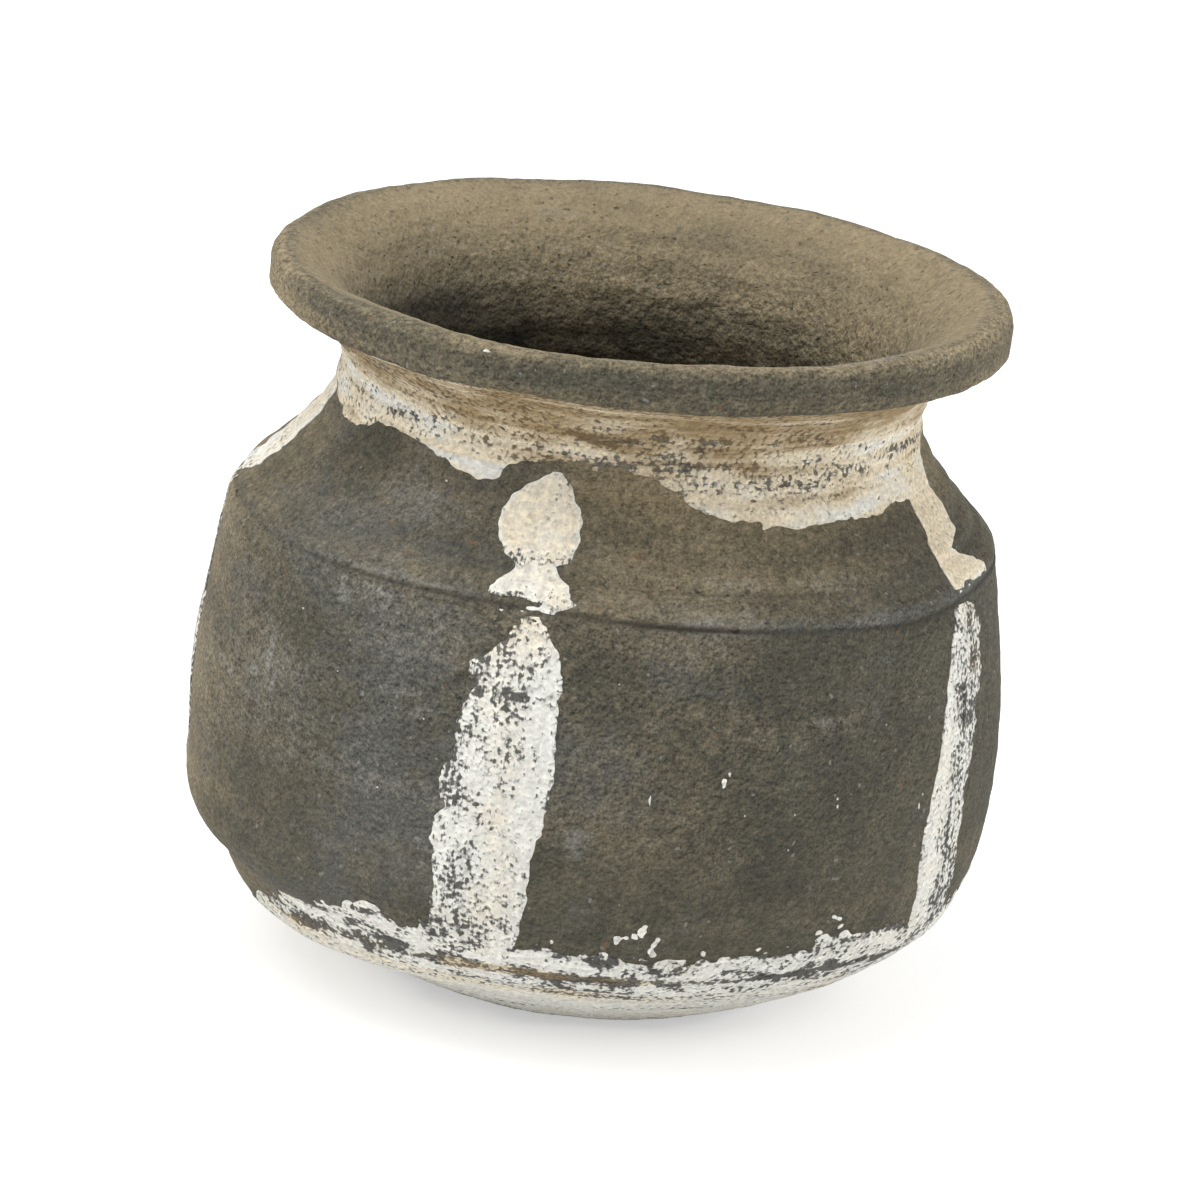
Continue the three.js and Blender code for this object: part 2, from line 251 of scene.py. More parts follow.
class POT_PG_shape(bpy.types.PropertyGroup):
    """Sizes of the clay body"""

    height: length("Height", "Foot to lip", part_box("rim")[1].z)
    belly_radius: length("Belly Radius", "Widest part of the wall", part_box("body_wall")[1].x)
    foot_radius: length("Foot Radius", "Flat foot", 58 * MM)
    base_rise: length("Base Rise", "Height of the base dish", 34 * MM)
    lower_wall_rise: length("Lower Wall Rise", "Base dish to belly", 54 * MM)
    shoulder_rise: length("Shoulder Rise", "Ledge to neck", 42 * MM)
    rim_rise: length("Rim Rise", "Neck to lip", 36 * MM)
    base_step: length("Base Step", "Base edge in from the belly", 12 * MM)
    ridge_step: length("Ridge Step", "Ledge in from the belly", 8.3 * MM)
    shoulder_run: length("Shoulder Run", "Neck in from the ledge", 28.7 * MM)
    rim_flare: length("Rim Flare", "Lip out from the neck", 24.5 * MM)
    wall: length("Wall", "Clay thickness", 9 * MM)
    lip_height: length("Lip Height", "Rolled lip", 14 * MM)
    lip_round: length("Lip Round", "Rounding of the lip", 3.0 * MM)
    lip_flat: length("Lip Flat", "Top of the lip in from its edge", 6.5 * MM)
    lap: length("Lap", "Overlap of two sections", 6 * MM)
    collar_half: length("Collar Half", "Half the height of the neck collar", 8.5 * MM)
    handwork: bpy.props.FloatProperty(
        name="Handwork", description="Strength of dents, rings and wobble", min=0, max=3, default=1.0)
    seed: bpy.props.IntProperty(name="Seed", description="Start of the random handwork", default=41)


class POT_PG_clay(bpy.types.PropertyGroup):
    """Finish of the fired clay"""

    dark: tint("Dark Clay", "Smoked clay", (0.076, 0.073, 0.055))
    warm: tint("Warm Clay", "Brown clay", (0.121, 0.109, 0.076))
    slate: tint("Slate", "Blue-grey patches", (0.118, 0.119, 0.108))
    # Ochre dust, also used for painted light on the flanks, the lip's top and the right of the crown.
    dust: tint("Dust", "Ochre dust", (0.315, 0.254, 0.155))
    # Pale scuffs, also used for painted light on the wall's left flank.
    ash: tint("Ash", "Pale scuffs", (0.25, 0.245, 0.22))
    rust: tint("Rust", "Iron specks", (0.24, 0.115, 0.05))
    # Near-black for the pores, and for painted shade in the creases, the groove, the lip and the throat.
    soot: tint("Soot", "Creases and pores", (0.022, 0.020, 0.016))
    roughness: bpy.props.FloatProperty(
        name="Roughness", description="Mean roughness", subtype="FACTOR", min=0, max=1, default=0.86)


class POT_PG_limewash(bpy.types.PropertyGroup):
    """Finish of the limewash"""

    chalk: tint("Chalk", "Clean limewash", (0.87, 0.86, 0.80))
    cream: tint("Cream", "Yellowed limewash", (0.86, 0.765, 0.585))
    ochre: tint("Ochre", "Earth stain", (0.43, 0.315, 0.17))
    clay: tint("Bare Clay", "Clay that shows through", (0.075, 0.073, 0.066))
    earth: tint("Bare Earth", "Browner clay that shows through", (0.15, 0.106, 0.055))
    coat: length("Coat", "Thickness of a full coat", 0.4 * MM)
    seed: bpy.props.IntProperty(name="Seed", description="Start of the random wear", default=7)


class POT_PG_studio(bpy.types.PropertyGroup):
    """Camera, lamps and floor"""

    distance: length("Distance", "Camera to pot", 1.7)
    elevation: tilt("Elevation", "Camera above the horizon", 17.94)
    roll: tilt("Roll", "Lean of the pot in the picture", 5.73)
    aim_height: length("Aim Height", "Height in the middle of the picture", 117 * MM)
    aim_side: length("Aim Side", "Side offset of the camera", -2.8 * MM)
    lens: bpy.props.FloatProperty(
        name="Lens", description="Focal length on a 36 mm sensor", unit="CAMERA", default=162.8)
    key_power: bpy.props.FloatProperty(
        name="Key Power", description="Overhead soft box", unit="POWER", default=22.0)
    sky: bpy.props.FloatProperty(
        name="Sky", description="Even light from all round", min=0, default=0.62)
    floor_colour: tint("Floor Colour", "Pale floor", (0.86, 0.86, 0.86))


def sweep(start, end, near, far, count=240):
    """Cubic curve between two points of the section.

    Each handle is a fraction of the way along r and of the way along z."""
    start, end = np.asarray(start, float), np.asarray(end, float)
    one, two = start + (end - start) * near, start + (end - start) * far
    t = np.linspace(0.0, 1.0, count)[:, None]
    s = 1.0 - t
    return s**3 * start + 3 * s * s * t * one + 3 * s * t * t * two + t**3 * end


def bend(start, corner, end, count=60):
    """Quadratic curve from start to end that leaves and arrives along the lines to corner."""
    start, corner, end = (np.asarray(p, float) for p in (start, corner, end))
    t = np.linspace(0.0, 1.0, count)[:, None]
    return (1 - t) ** 2 * start + 2 * t * (1 - t) * corner + t * t * end


def ease(value, low, high):
    """0 below low, 1 above high and a smooth cubic step between."""
    t = np.clip((value - low) / (high - low), 0.0, 1.0)
    return t * t * (3.0 - 2.0 * t)


def hump(value, middle, spread):
    """Bell of height 1 about a middle value."""
    return np.exp(-(((value - middle) / spread) ** 2))


def band(value, low, rise, fall, high):
    """1 between rise and fall, with a smooth step up from low and a smooth step down to high."""
    return ease(value, low, rise) * (1 - ease(value, fall, high))


def spot(side, z, angle, height, wide, tall):
    """Soft oval spot: a bell across the pot times a bell up it."""
    return hump(side, angle, wide) * hump(z, height, tall)


def wrapped(degrees):
    """The same angle between -180 and 180 degrees."""
    return (degrees + 180) % 360 - 180


def on_pot(radius, az, height):
    """Points at a radius from the axis, an angle from the front and a height."""
    return np.stack([radius * np.sin(az), -radius * np.cos(az), height], -1)


class Outline:
    """Section of the pot as one line: from the edge of the foot up the outside, over the
    lip and down the inside to the edge of the floor.

    Each stretch is a cubic or a quadratic curve. The whole line is resampled at even steps,
    and `way` is the length along it. The normal is the tangent, averaged over a few steps and turned a
    quarter outwards."""

    STEP = 0.2 * MM
    SOFT_STEPS = 4
    # Slope of the base edge, and how far the inner ledge lies below the outer one, in walls.
    BASE_SLOPE = math.radians(42)
    INNER_LEDGE_DROP = 0.6

    def __init__(self, shape):
        self.shape = shape
        self.neck_height = shape.height - shape.rim_rise
        self.ridge_height = self.neck_height - shape.shoulder_rise
        self.belly_height = shape.base_rise + shape.lower_wall_rise
        outside, inside = self.skin(0.0), self.skin(shape.wall)
        rim_radius = outside[-1][0] + shape.rim_flare
        under = (rim_radius - shape.lip_round, shape.height - shape.lip_height)
        top = (rim_radius - shape.lip_flat, shape.height)
        low_edge = (rim_radius, under[1] + shape.lip_round)
        high_edge = (rim_radius, shape.height - 2 * shape.lip_round)
        line = np.concatenate([
            outside,
            sweep(outside[-1], under, (0, 0.36), (0.39, 0.86)),
            bend(under, (rim_radius, under[1]), low_edge),
            bend(high_edge, (rim_radius, shape.height), top),
            sweep(top, inside[-1], (0.41, 0.07), (0.98, 0.44)),
            inside[::-1],
        ])
        gone = np.concatenate([[0.0], np.cumsum(np.hypot(*np.diff(line, axis=0).T))])
        self.length = gone[-1]
        self.way = np.arange(0.0, self.length, self.STEP)
        self.r, self.z = (np.interp(self.way, gone, line[:, k]) for k in (0, 1))
        across, up = self.soften(np.gradient(self.r)), self.soften(np.gradient(self.z))
        size = np.hypot(across, up)
        self.nr, self.nz = up / size, -across / size
        self.top = self.way[np.argmax(self.z)]
        self.lip_low = self.outside(under[1])
        self.ridge = self.outside(self.ridge_height)
        self.throat = self.inside(self.neck_height)

    def soften(self, values):
        """Running mean over SOFT_STEPS on each side."""
        count = 2 * self.SOFT_STEPS + 1
        return np.convolve(np.pad(values, self.SOFT_STEPS, "edge"), np.ones(count) / count, "valid")

    def skin(self, depth):
        """Face of the pot at a depth below its outside, from the foot to the neck."""
        shape = self.shape
        ridge_radius = shape.belly_radius - shape.ridge_step - depth
        foot = (shape.foot_radius, depth)
        base = (shape.belly_radius - shape.base_step - depth * math.sin(self.BASE_SLOPE),
                shape.base_rise + depth * math.cos(self.BASE_SLOPE))
        belly = (shape.belly_radius - depth, self.belly_height)
        ridge = (ridge_radius, self.ridge_height - self.INNER_LEDGE_DROP * depth)
        neck = (ridge_radius - shape.shoulder_run, self.neck_height)
        return np.concatenate([
            sweep(foot, base, (0.35, 0.22), (0.78, 0.62)),
            sweep(base, belly, (0.88, 0.18), (1, 0.44)),
            sweep(belly, ridge, (0, 0.37), (0.64, 0.77)),
            sweep(ridge, neck, (0.29, 0.25), (0.97, 0.6)),
        ])

    def outside(self, height):
        """Way to a height on the outer face."""
        part = self.way <= self.top
        return np.interp(height, self.z[part], self.way[part])

    def inside(self, height):
        """Way to a height on the inner face."""
        part = self.way >= self.top
        return np.interp(height, self.z[part][::-1], self.way[part][::-1])

    def at(self, way):
        """Radius, height and the two parts of the normal at a way along the line."""
        return tuple(np.interp(way, self.way, k) for k in (self.r, self.z, self.nr, self.nz))


def cloud(rng, cells, reach):
    """Smooth random field of mean 0 and spread 1 that repeats at its edges.

    White noise is blurred by a Gaussian in its spectrum. The reach is in cells."""
    down = np.fft.fftfreq(cells[0])[:, None] * reach[0]
    along = np.fft.rfftfreq(cells[1])[None, :] * reach[1]
    spectrum = np.fft.rfft2(rng.standard_normal(cells)) * np.exp(-2 * np.pi**2 * (down**2 + along**2))
    field = np.fft.irfft2(spectrum, cells)
    return (field - field.mean()) / field.std()


class Handwork:
    """Dents, rings, wobble and lumps that the potter's hands left, at any angle and way.

    A bump's height is in mm along the normal, until `relief` gives the sum in metres."""

    CELLS = (1536, 840)
    # Reach of each random field in mm, round the pot and along its section.
    REACH = {
        "paddle": (15, 17), "lump": (5.5, 5.0), "grit": (1.3, 1.1), "ring": (55, 1.9),
        "broad": (48, 34), "smear": (26, 3.2), "patch": (11, 10), "chip": (3.0, 2.0),
    }
    PHASES = 12
    END_FADE = 10 * MM

    def __init__(self, outline):
        self.outline = outline
        self.strength = outline.shape.handwork
        rng = np.random.default_rng(outline.shape.seed)
        around = self.CELLS[0] / (TURN * outline.shape.belly_radius)
        along = self.CELLS[1] / outline.length
        self.fields = {
            name: cloud(rng, self.CELLS, (a * MM * around, b * MM * along))
            for name, (a, b) in self.REACH.items()
        }
        self.phase = rng.uniform(0, TURN, self.PHASES)

    def field(self, name, az, way):
        """A random field read between its cells, linearly, and round the pot without a seam."""
        table = self.fields[name]
        a = (az / TURN % 1.0) * self.CELLS[0]
        b = np.clip(way / self.outline.length, 0, 1) * (self.CELLS[1] - 1.001)
        i, j = np.floor(a).astype(int), np.floor(b).astype(int)
        fa, fb = a - i, b - j
        i, k = i % self.CELLS[0], (i + 1) % self.CELLS[0]
        low = table[i, j] * (1 - fa) + table[k, j] * fa
        high = table[i, j + 1] * (1 - fa) + table[k, j + 1] * fa
        return low * (1 - fb) + high * fb

    def over_crease(self, az, way):
        """Way in mm over the crease under the ledge. The crease rises at the front."""
        side = wrapped(np.degrees(az))
        crease = 3.2 * hump(side, -9, 32) - 2.0 * hump(side, 50, 11) + 0.4 * np.sin(3 * az + self.phase[11])
        return (way - self.outline.ridge) / MM - crease

    def groove(self, az, crease, spread):
        """Bell across the groove that runs round above the ledge."""
        return hump(crease, 10.5 + 0.8 * np.sin(az + self.phase[10]), spread)

    def wobble(self, az, way):
        """Low waves round the pot, and random paddle marks, lumps, grit and rings, each with its
        own strength on the wall, the shoulder, the lip and the inside."""
        line, p = self.outline, self.phase
        up = (way - line.ridge) / MM
        inner = ease(way, line.top, line.top + 12 * MM)
        deep = ease(way, line.throat - 20 * MM, line.throat + 4 * MM)
        lip = ease(way, line.lip_low - 3 * MM, line.lip_low + 3 * MM) * (1 - inner)
        shoulder = ease(up, 2, 9) * (1 - lip) * (1 - inner)
        wall = ease(way, line.outside(30 * MM), line.outside(50 * MM)) * (1 - ease(up, -4, 0))
        mm = 0.34 * np.cos(2 * az + p[0] + 4 * way) + 0.26 * np.cos(3 * az + p[1] - 9 * way)
        mm += 0.18 * np.cos(5 * az + p[2] + 14 * way) - np.sin(az) * (1.1 * wall - 0.5 * lip)
        mm += (0.32 * wall + 0.18) * self.field("paddle", az, way)
        mm += (0.10 + 0.12 * inner + 0.06 * deep + 0.05 * lip) * self.field("lump", az, way)
        mm += (0.06 + 0.06 * inner + 0.09 * deep) * self.field("grit", az, way)
        mm += (0.05 + 0.13 * shoulder + 0.10 * inner + 0.08 * deep) * self.field("ring", az, way)
        mm += shoulder * 0.12 * np.cos(up * TURN / 9.5 + 0.5 * np.sin(az + p[3]))
        waves = 0.20 * np.cos(4 * az + p[4]) + 0.15 * np.cos(7 * az + p[5])
        waves += 0.10 * np.cos(11 * az + p[6])
        mm += lip * (waves + 0.10 * self.field("smear", az, way))
        return mm

    def ledge(self, az, way):
        """A bead over the crease, the crease itself, a groove above and a second bead over that.
        The bead and the crease are stronger at the front right."""
        p, crease = self.phase, self.over_crease(az, way)
        broad = ease(np.sin(az + 0.15), -0.1, 0.25) * ease(np.cos(az), -0.3, 0.3)
        mm = (0.45 + 0.45 * broad) * hump(crease, 3.4 + 0.5 * np.sin(2 * az + p[8]), 3.2)
        mm -= (0.34 + 0.12 * self.field("smear", az, way)) * hump(crease, -0.2, 1.1)
        mm -= 0.55 * broad * hump(crease, -1.0, 2.6)
        mm -= (0.60 + 0.12 * np.cos(az + p[9])) * self.groove(az, crease, 1.7)
        mm += 0.40 * hump(crease, 15.0, 2.6)
        return mm

    def corner(self, az, way):
        """Chips along the lower corner, and its sag at the left: two bulges with a dip between."""
        low, edge, dip, high = (self.outline.outside(z * MM) for z in (26, 37, 38, 53))
        mm = -0.6 * hump(way, edge, 4 * MM) * np.maximum(self.field("chip", az, way) - 0.3, 0)
        sag = 4.0 * hump(way, low, 9 * MM) - 1.5 * hump(way, dip, 5 * MM) + 2.2 * hump(way, high, 8 * MM)
        return mm + sag * ease(np.cos(az + 1.2), 0.5, 0.97)

    def relief(self, az, way):
        """Height of all handwork over the plain outline in metres, fading out at both ends."""
        mm = self.wobble(az, way) + self.ledge(az, way) + self.corner(az, way)
        mm *= ease(way, 0.0, self.END_FADE) * ease(self.outline.length - way, 0.0, self.END_FADE)
        return self.strength * mm * MM


class Weathering:
    """Marks that use and fire left on the clay, and painted light and shade, at arrays of angle and way.

    Each mark is a sum of soft bands, bells and spots over the zones of the pot, with random
    fields in it. Ways past the lip's foot and past the top of the lip are in mm."""

    MARKS = ("dust", "ash", "soot", "cool", "sand", "rugged", "turned")
    POLE_FADE = 16 * MM

    def __init__(self, work, az, way):
        line = work.outline
        self.work, self.az, self.way = work, az, way
        self.side, self.z = wrapped(np.degrees(az)), line.at(way)[1] / MM
        self.right = np.sin(az)
        self.crease = work.over_crease(az, way)
        self.past_lip, self.past_top = (way - line.lip_low) / MM, (way - line.top) / MM
        self.throat = (line.throat - line.top) / MM
        up = (way - line.ridge) / MM
        self.wall = (1 - ease(up, -2, 0)) * (1 - ease(self.past_top, 0, 8))
        self.low_wall = self.wall * (1 - ease(self.z, 62, 98))
        self.shoulder = ease(up, 0, 5) * (1 - ease(self.past_lip, -3, 0))
        self.lip = ease(self.past_lip, -2, 2) * (1 - ease(self.past_top, -4, 0))
        self.crown = ease(self.past_top, -4, 3)
        self.mouth = ease(self.past_top, 14, self.throat)
        self.deep = ease(self.past_top, self.throat - 16, self.throat + 22)
        # Painted shade: the left inside the pot, which faces away from the lamps on the left.
        self.painted_shade_left = ease(-self.right, -0.15, 0.85)
        self.even = 1 - 0.6 * self.low_wall - 0.85 * self.lip
        names = ("broad", "patch", "smear", "lump", "ring")
        self.broad, self.patch, self.smear, self.lump, self.ring = (work.field(k, az, way) for k in names)

    def dust(self):
        """Ochre dust, thick on the crown, over the shoulder's top and on the lip, and on the flanks of the
        wall mixed with painted light. Painted light also falls on the lip's top bevel and the crown's
        right, and painted shade on the crown's left.
        """
        side, z = self.side, self.z
        front = ease(side, -25, -5)
        shoulder = 0.05 + 0.21 * ease(side, -18, 4) - 0.10 * ease(side, 25, 50)
        shoulder += (0.05 + 0.10 * front) * ease(z, 164, 184)
        shoulder -= (0.06 + 0.06 * front) * (1 - ease(z, 152, 165))
        shoulder += 0.12 * hump(side, -3, 20) * ease(z, 168, 182)
        shoulder -= 0.06 * hump(side, 16, 14) * (1 - ease(z, 152, 160))
        shoulder += 0.10 * band(-side, 50, 78, 105, 145)
        # Lighter on both flanks of the wall: partly dust and partly painted light.
        wall = (0.18 + 0.10 * (1 - ease(z, 58, 88))) * band(-side, 35, 85, 100, 145)
        wall += 0.12 * band(-side, 60, 84, 92, 125) + 0.16 * band(side, 58, 76, 100, 130)
        lip = 0.13 + 0.07 * hump(side, 34, 16) + 0.26 * ease(-side, 40, 75) + 0.21 * ease(side, 40, 75)
        # Painted light on the crown: a little lighter on the right and darker on its shaded left. The dust
        # thins deeper in the mouth, and faster on the shaded left as painted shade.
        crown = 0.59 + 0.03 * ease(self.right, 0, 0.8) - 0.10 * ease(-self.right, 0.3, 0.9)
        crown -= (0.42 + 0.12 * self.painted_shade_left) * ease(self.past_top, 8, self.throat + 22)
        crown -= 0.035 * self.broad + 0.025 * self.patch
        dust = 0.20 + self.even * (0.07 * self.broad + 0.05 * self.patch) + 0.05 * self.smear
        dust += self.shoulder * shoulder + self.wall * wall + self.crown * crown
        dust += self.lip * lip * (1 + 0.2 * self.smear)
        dust += 0.08 * hump(self.crease, 5, 4) * (1 - 0.8 * ease(side, -15, 5))
        # The second bell is painted light on the top bevel of the lip.
        dust += 0.10 * hump(self.past_lip, 4, 3) + 0.14 * hump(self.past_top, -3.5, 2.6)
        return dust

    def ash(self):
        """Pale scuffs on the left of the wall, along the ledge and the lip's edge and in spots, and painted
        light on the wall's left flank.
        """
        side, z = self.side, self.z
        ash = 0.08 + self.even * (0.07 * self.smear + 0.05 * self.patch) - 0.08 * self.crown
        # The second bell is painted light on the left flank of the wall.
        ash += self.wall * (0.13 * hump(side, -34, 24) + 0.06 * hump(side, -85, 25))
        ash += self.shoulder * 0.10 * spot(side, z, -36, 164, 20, 7) * (1 + self.smear)
        ledge = 0.15 * hump(self.crease, 1.5, 0.9) * (1 + 0.8 * self.smear)
        ash += ledge * (ease(-side, 8, 24) + 0.5 * ease(side, 5, 20))
        ash += 0.06 * hump(self.crease, 2.4, 2.2) * band(side, 0, 18, 62, 80)
        ash += 0.14 * hump(self.past_top, -0.5, 1.5) * (1 + 0.5 * self.lump)
        for *place, strength in SCUFFS:
            ash += self.wall * strength * spot(side, z, *place)
        return ash

    def soot(self):
        """Painted shade in the crease under the ledge, the groove above it, the lip's foot, a band at the
        front of the lip, and deep inside the throat, most on its shaded left. Soot in random dark patches
        and a spot on the wall.
        """
        side = self.side
        # Painted shade in and just under the crease beneath the ledge.
        soot = (0.34 + 0.22 * self.smear) * hump(self.crease, -0.4, 1.1)
        soot += 0.10 * hump(self.crease, -2.0, 3.0)
        soot += 0.18 * ease(side, -8, 8) * hump(self.crease, -1.0, 2.4)
        # Painted shade in the groove above the ledge.
        groove = (0.24 + 0.05 * band(side, -6, 8, 60, 80)) * (1 + 0.6 * self.smear)
        soot += groove * self.work.groove(self.az, self.crease, 1.3)
        # Painted shade deeper in the mouth and the throat, strongest on the shaded left.
        soot += (0.05 + 0.26 * self.painted_shade_left) * ease(self.past_top, 10, self.throat)
        soot += 0.12 * ease(-self.right, 0.4, 0.9) * ease(self.past_top, 12, 30)
        soot += self.deep * (0.34 * self.painted_shade_left + 0.03 * self.lump)
        soot += 0.03 * self.crown * np.maximum(self.lump, 0) + 0.16 * np.maximum(self.lump - 1.2, 0)
        soot += self.wall * 0.55 * spot(side, self.z, -34.3, 112.6, 0.6, 1.2)
        soot += self.wall * 0.05 * np.maximum(self.broad, 0)
        # Painted shade: a band at the front of the lip below its top, and a dark line at the lip's foot.
        lip_corner_shade = (0.20 + 0.10 * self.ring) * hump(self.past_top, -8.2, 2.2)
        soot += 0.45 * hump(self.past_lip, -0.6, 1.1) + lip_corner_shade * ease(np.cos(self.az), -0.2, 0.9)
        return soot

    def cool(self):
        """Cool grey: a patch left of the front, and none on the lip and the crown."""
        right = ease(self.side, 0, 18)
        cool = 0.5 + 0.10 * self.patch - 0.6 * self.crown - 0.9 * self.lip
        cool += self.wall * (0.55 * spot(self.side, self.z, -27, 102, 12, 28) - 0.40 * right)
        cool += self.shoulder * (0.05 * hump(self.side, -40, 22) - 0.3 * ease(self.side, -10, 5))
        cool += 0.3 * hump(self.crease, 1.0, 3.0) * right
        return cool

    def sand(self):
        """Sandy grain: weaker low on the wall, on the shoulder and on the smooth crown."""
        return 1.0 - 0.30 * self.low_wall - 0.20 * self.shoulder - 0.62 * self.crown * (1 - self.mouth)

    def rugged(self):
        """Coarse lumps: inside, most of all in the mouth and on the right."""
        return self.crown * (0.20 + 0.80 * np.maximum(self.mouth, 0.7 * ease(self.right, 0.2, 0.9)))

    def turned(self):
        """Fine lines of the turning: on the lip, less on the shoulder and deep inside."""
        return self.lip + 0.45 * self.shoulder + 0.5 * self.crown * self.deep

    def marks(self):
        """All marks, from 0 to 1. Near the two poles each evens out round the pot."""
        to_end = self.work.outline.length - self.way
        calm = ease(np.minimum(self.way, to_end), 0, self.POLE_FADE)
        values = {name: getattr(self, name)() for name in self.MARKS}
        return {k: np.clip(v * calm + v.mean(0) * (1 - calm), 0, 1) for k, v in values.items()}


def make_piece(name, points, faces, marks, uv=None, angle=50):
    """Mesh object from arrays: points (n, 3), faces (m, 3 or 4) and named values at points.

    Edges that bend by more than the angle in degrees are sharp."""
    mesh = bpy.data.meshes.new(name)
    corners = np.concatenate([f.ravel() for f in faces]).astype(np.int32)
    sizes = np.concatenate([np.full(len(f), f.shape[1]) for f in faces]).astype(np.int32)
    starts = np.concatenate([[0], np.cumsum(sizes)[:-1]]).astype(np.int32)
    mesh.vertices.add(len(points))
    mesh.vertices.foreach_set("co", np.ascontiguousarray(points, np.float32).ravel())
    mesh.loops.add(len(corners))
    mesh.loops.foreach_set("vertex_index", corners)
    mesh.polygons.add(len(sizes))
    mesh.polygons.foreach_set("loop_start", starts)
    mesh.polygons.foreach_set("loop_total", sizes)
    mesh.polygons.foreach_set("use_smooth", np.ones(len(sizes), bool))
    mesh.update(calc_edges=True)
    if mesh.validate():
        raise RuntimeError(f"{name}: the mesh had faults")
    for mark, values in marks.items():
        layer = mesh.attributes.new(mark, "FLOAT", "POINT")
        layer.data.foreach_set("value", np.ascontiguousarray(values, np.float32).ravel())
    if uv is not None:
        layer = mesh.uv_layers.new(name="brushed")
        layer.data.foreach_set("uv", np.ascontiguousarray(uv[corners], np.float32).ravel())
    mesh.set_sharp_from_angle(angle=math.radians(angle))
    piece = bpy.data.objects.new(name, mesh)
    bpy.context.scene.collection.objects.link(piece)
    return piece


def settle(piece, material, slot, *nodes):
    """Gives a piece its material and its body, and hides the CAD nodes that it stands for."""
    piece.data.materials.append(material)
    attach(piece, "root")
    if nodes:
        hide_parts(*nodes)


def steps(start, end, size):
    """Even steps from start to end, both included, of about a size."""
    return np.linspace(start, end, max(int(round(abs(end - start) / size)), 1) + 1)


def turned_section(name, work, loop, count, poles=False):
    """Closed clay section, turned round the pot's axis.

    The loop is its section as rows of radius, height, normal, way and share of handwork.
    Point (angle, row) is the row's place moved along its normal by the relief there. The rows
    close on themselves, or end at two poles on the axis."""
    r, z, nr, nz, ways, share = loop
    az, way = np.meshgrid(np.linspace(0.0, TURN, count, endpoint=False), ways, indexing="ij")
    lift = work.relief(az, way) * share
    points = on_pot(r + lift * nr, az, z + lift * nz).reshape(-1, 3)
    marks = {k: v.ravel() for k, v in Weathering(work, az, way).marks().items()}
    index = np.arange(az.size).reshape(az.shape)
    beside = np.roll(index, -1, 0)
    above, above_beside = np.roll(index, -1, 1), np.roll(beside, -1, 1)
    quads = np.stack([index, beside, above_beside, above], -1)
    if not poles:
        return make_piece(name, points, [quads.reshape(-1, 4)], marks)
    low, high = len(points), len(points) + 1
    ends = [(0.0, 0.0, z[0]), (0.0, 0.0, z[-1])]
    first = np.stack([beside[:, 0], index[:, 0], np.full(count, low)], -1)
    last = np.stack([index[:, -1], beside[:, -1], np.full(count, high)], -1)
    marks = {k: np.append(v, [v[0], v[-1]]) for k, v in marks.items()}
    faces = [quads[:, :-1].reshape(-1, 4), first, last]
    return make_piece(name, np.vstack([points, ends]), faces, marks)


def on_line(line, way):
    """Rows of a loop that follow the outline, with full handwork."""
    way = np.asarray(way, float)
    r, z, nr, nz = line.at(way)
    return np.stack([r, z, nr, nz, way, np.ones_like(way)])


def off_line(points, way):
    """Rows of a loop in a joint, or on the flat foot and floor, without handwork."""
    r, z = np.array(points, float).T
    none = np.zeros_like(r)
    return np.stack([r, z, none, none, np.full_like(r, way), none])


def lap_points(line, height):
    """The two corners of a lap joint: mid-wall at its outer height and at its inner height."""
    def middle(z):
        return 0.5 * (line.at(line.outside(z))[0] + line.at(line.inside(z))[0])
    high = height + line.shape.lap
    return [(middle(height), height), (middle(high), high)]


def section_loop(line, below, above, out_step, in_step, near_ledge=False):
    """Loop of a section between two lap joints: up the outside and down the inside.

    Rows near the ledge may be finer, and rows that nearly meet are thinned."""
    lap = line.shape.lap
    start, end = line.outside(below), line.outside(above)
    ways = steps(start, end, out_step)
    if near_ledge:
        low, high = max(line.ridge - LEDGE_BELOW, start), min(line.ridge + LEDGE_ABOVE, end)
        ways = np.concatenate([ways, steps(low, high, LEDGE_STEP)])
    ways = np.unique(np.round(ways, 6))
    ways = ways[np.concatenate([[True], np.diff(ways) > LEAST_STEP])]
    ways[-1] = end
    back = steps(line.inside(above + lap), line.inside(below + lap), in_step)
    return np.concatenate([
        on_line(line, ways), off_line(lap_points(line, above), end),
        on_line(line, back), off_line(lap_points(line, below)[::-1], start),
    ], axis=1)


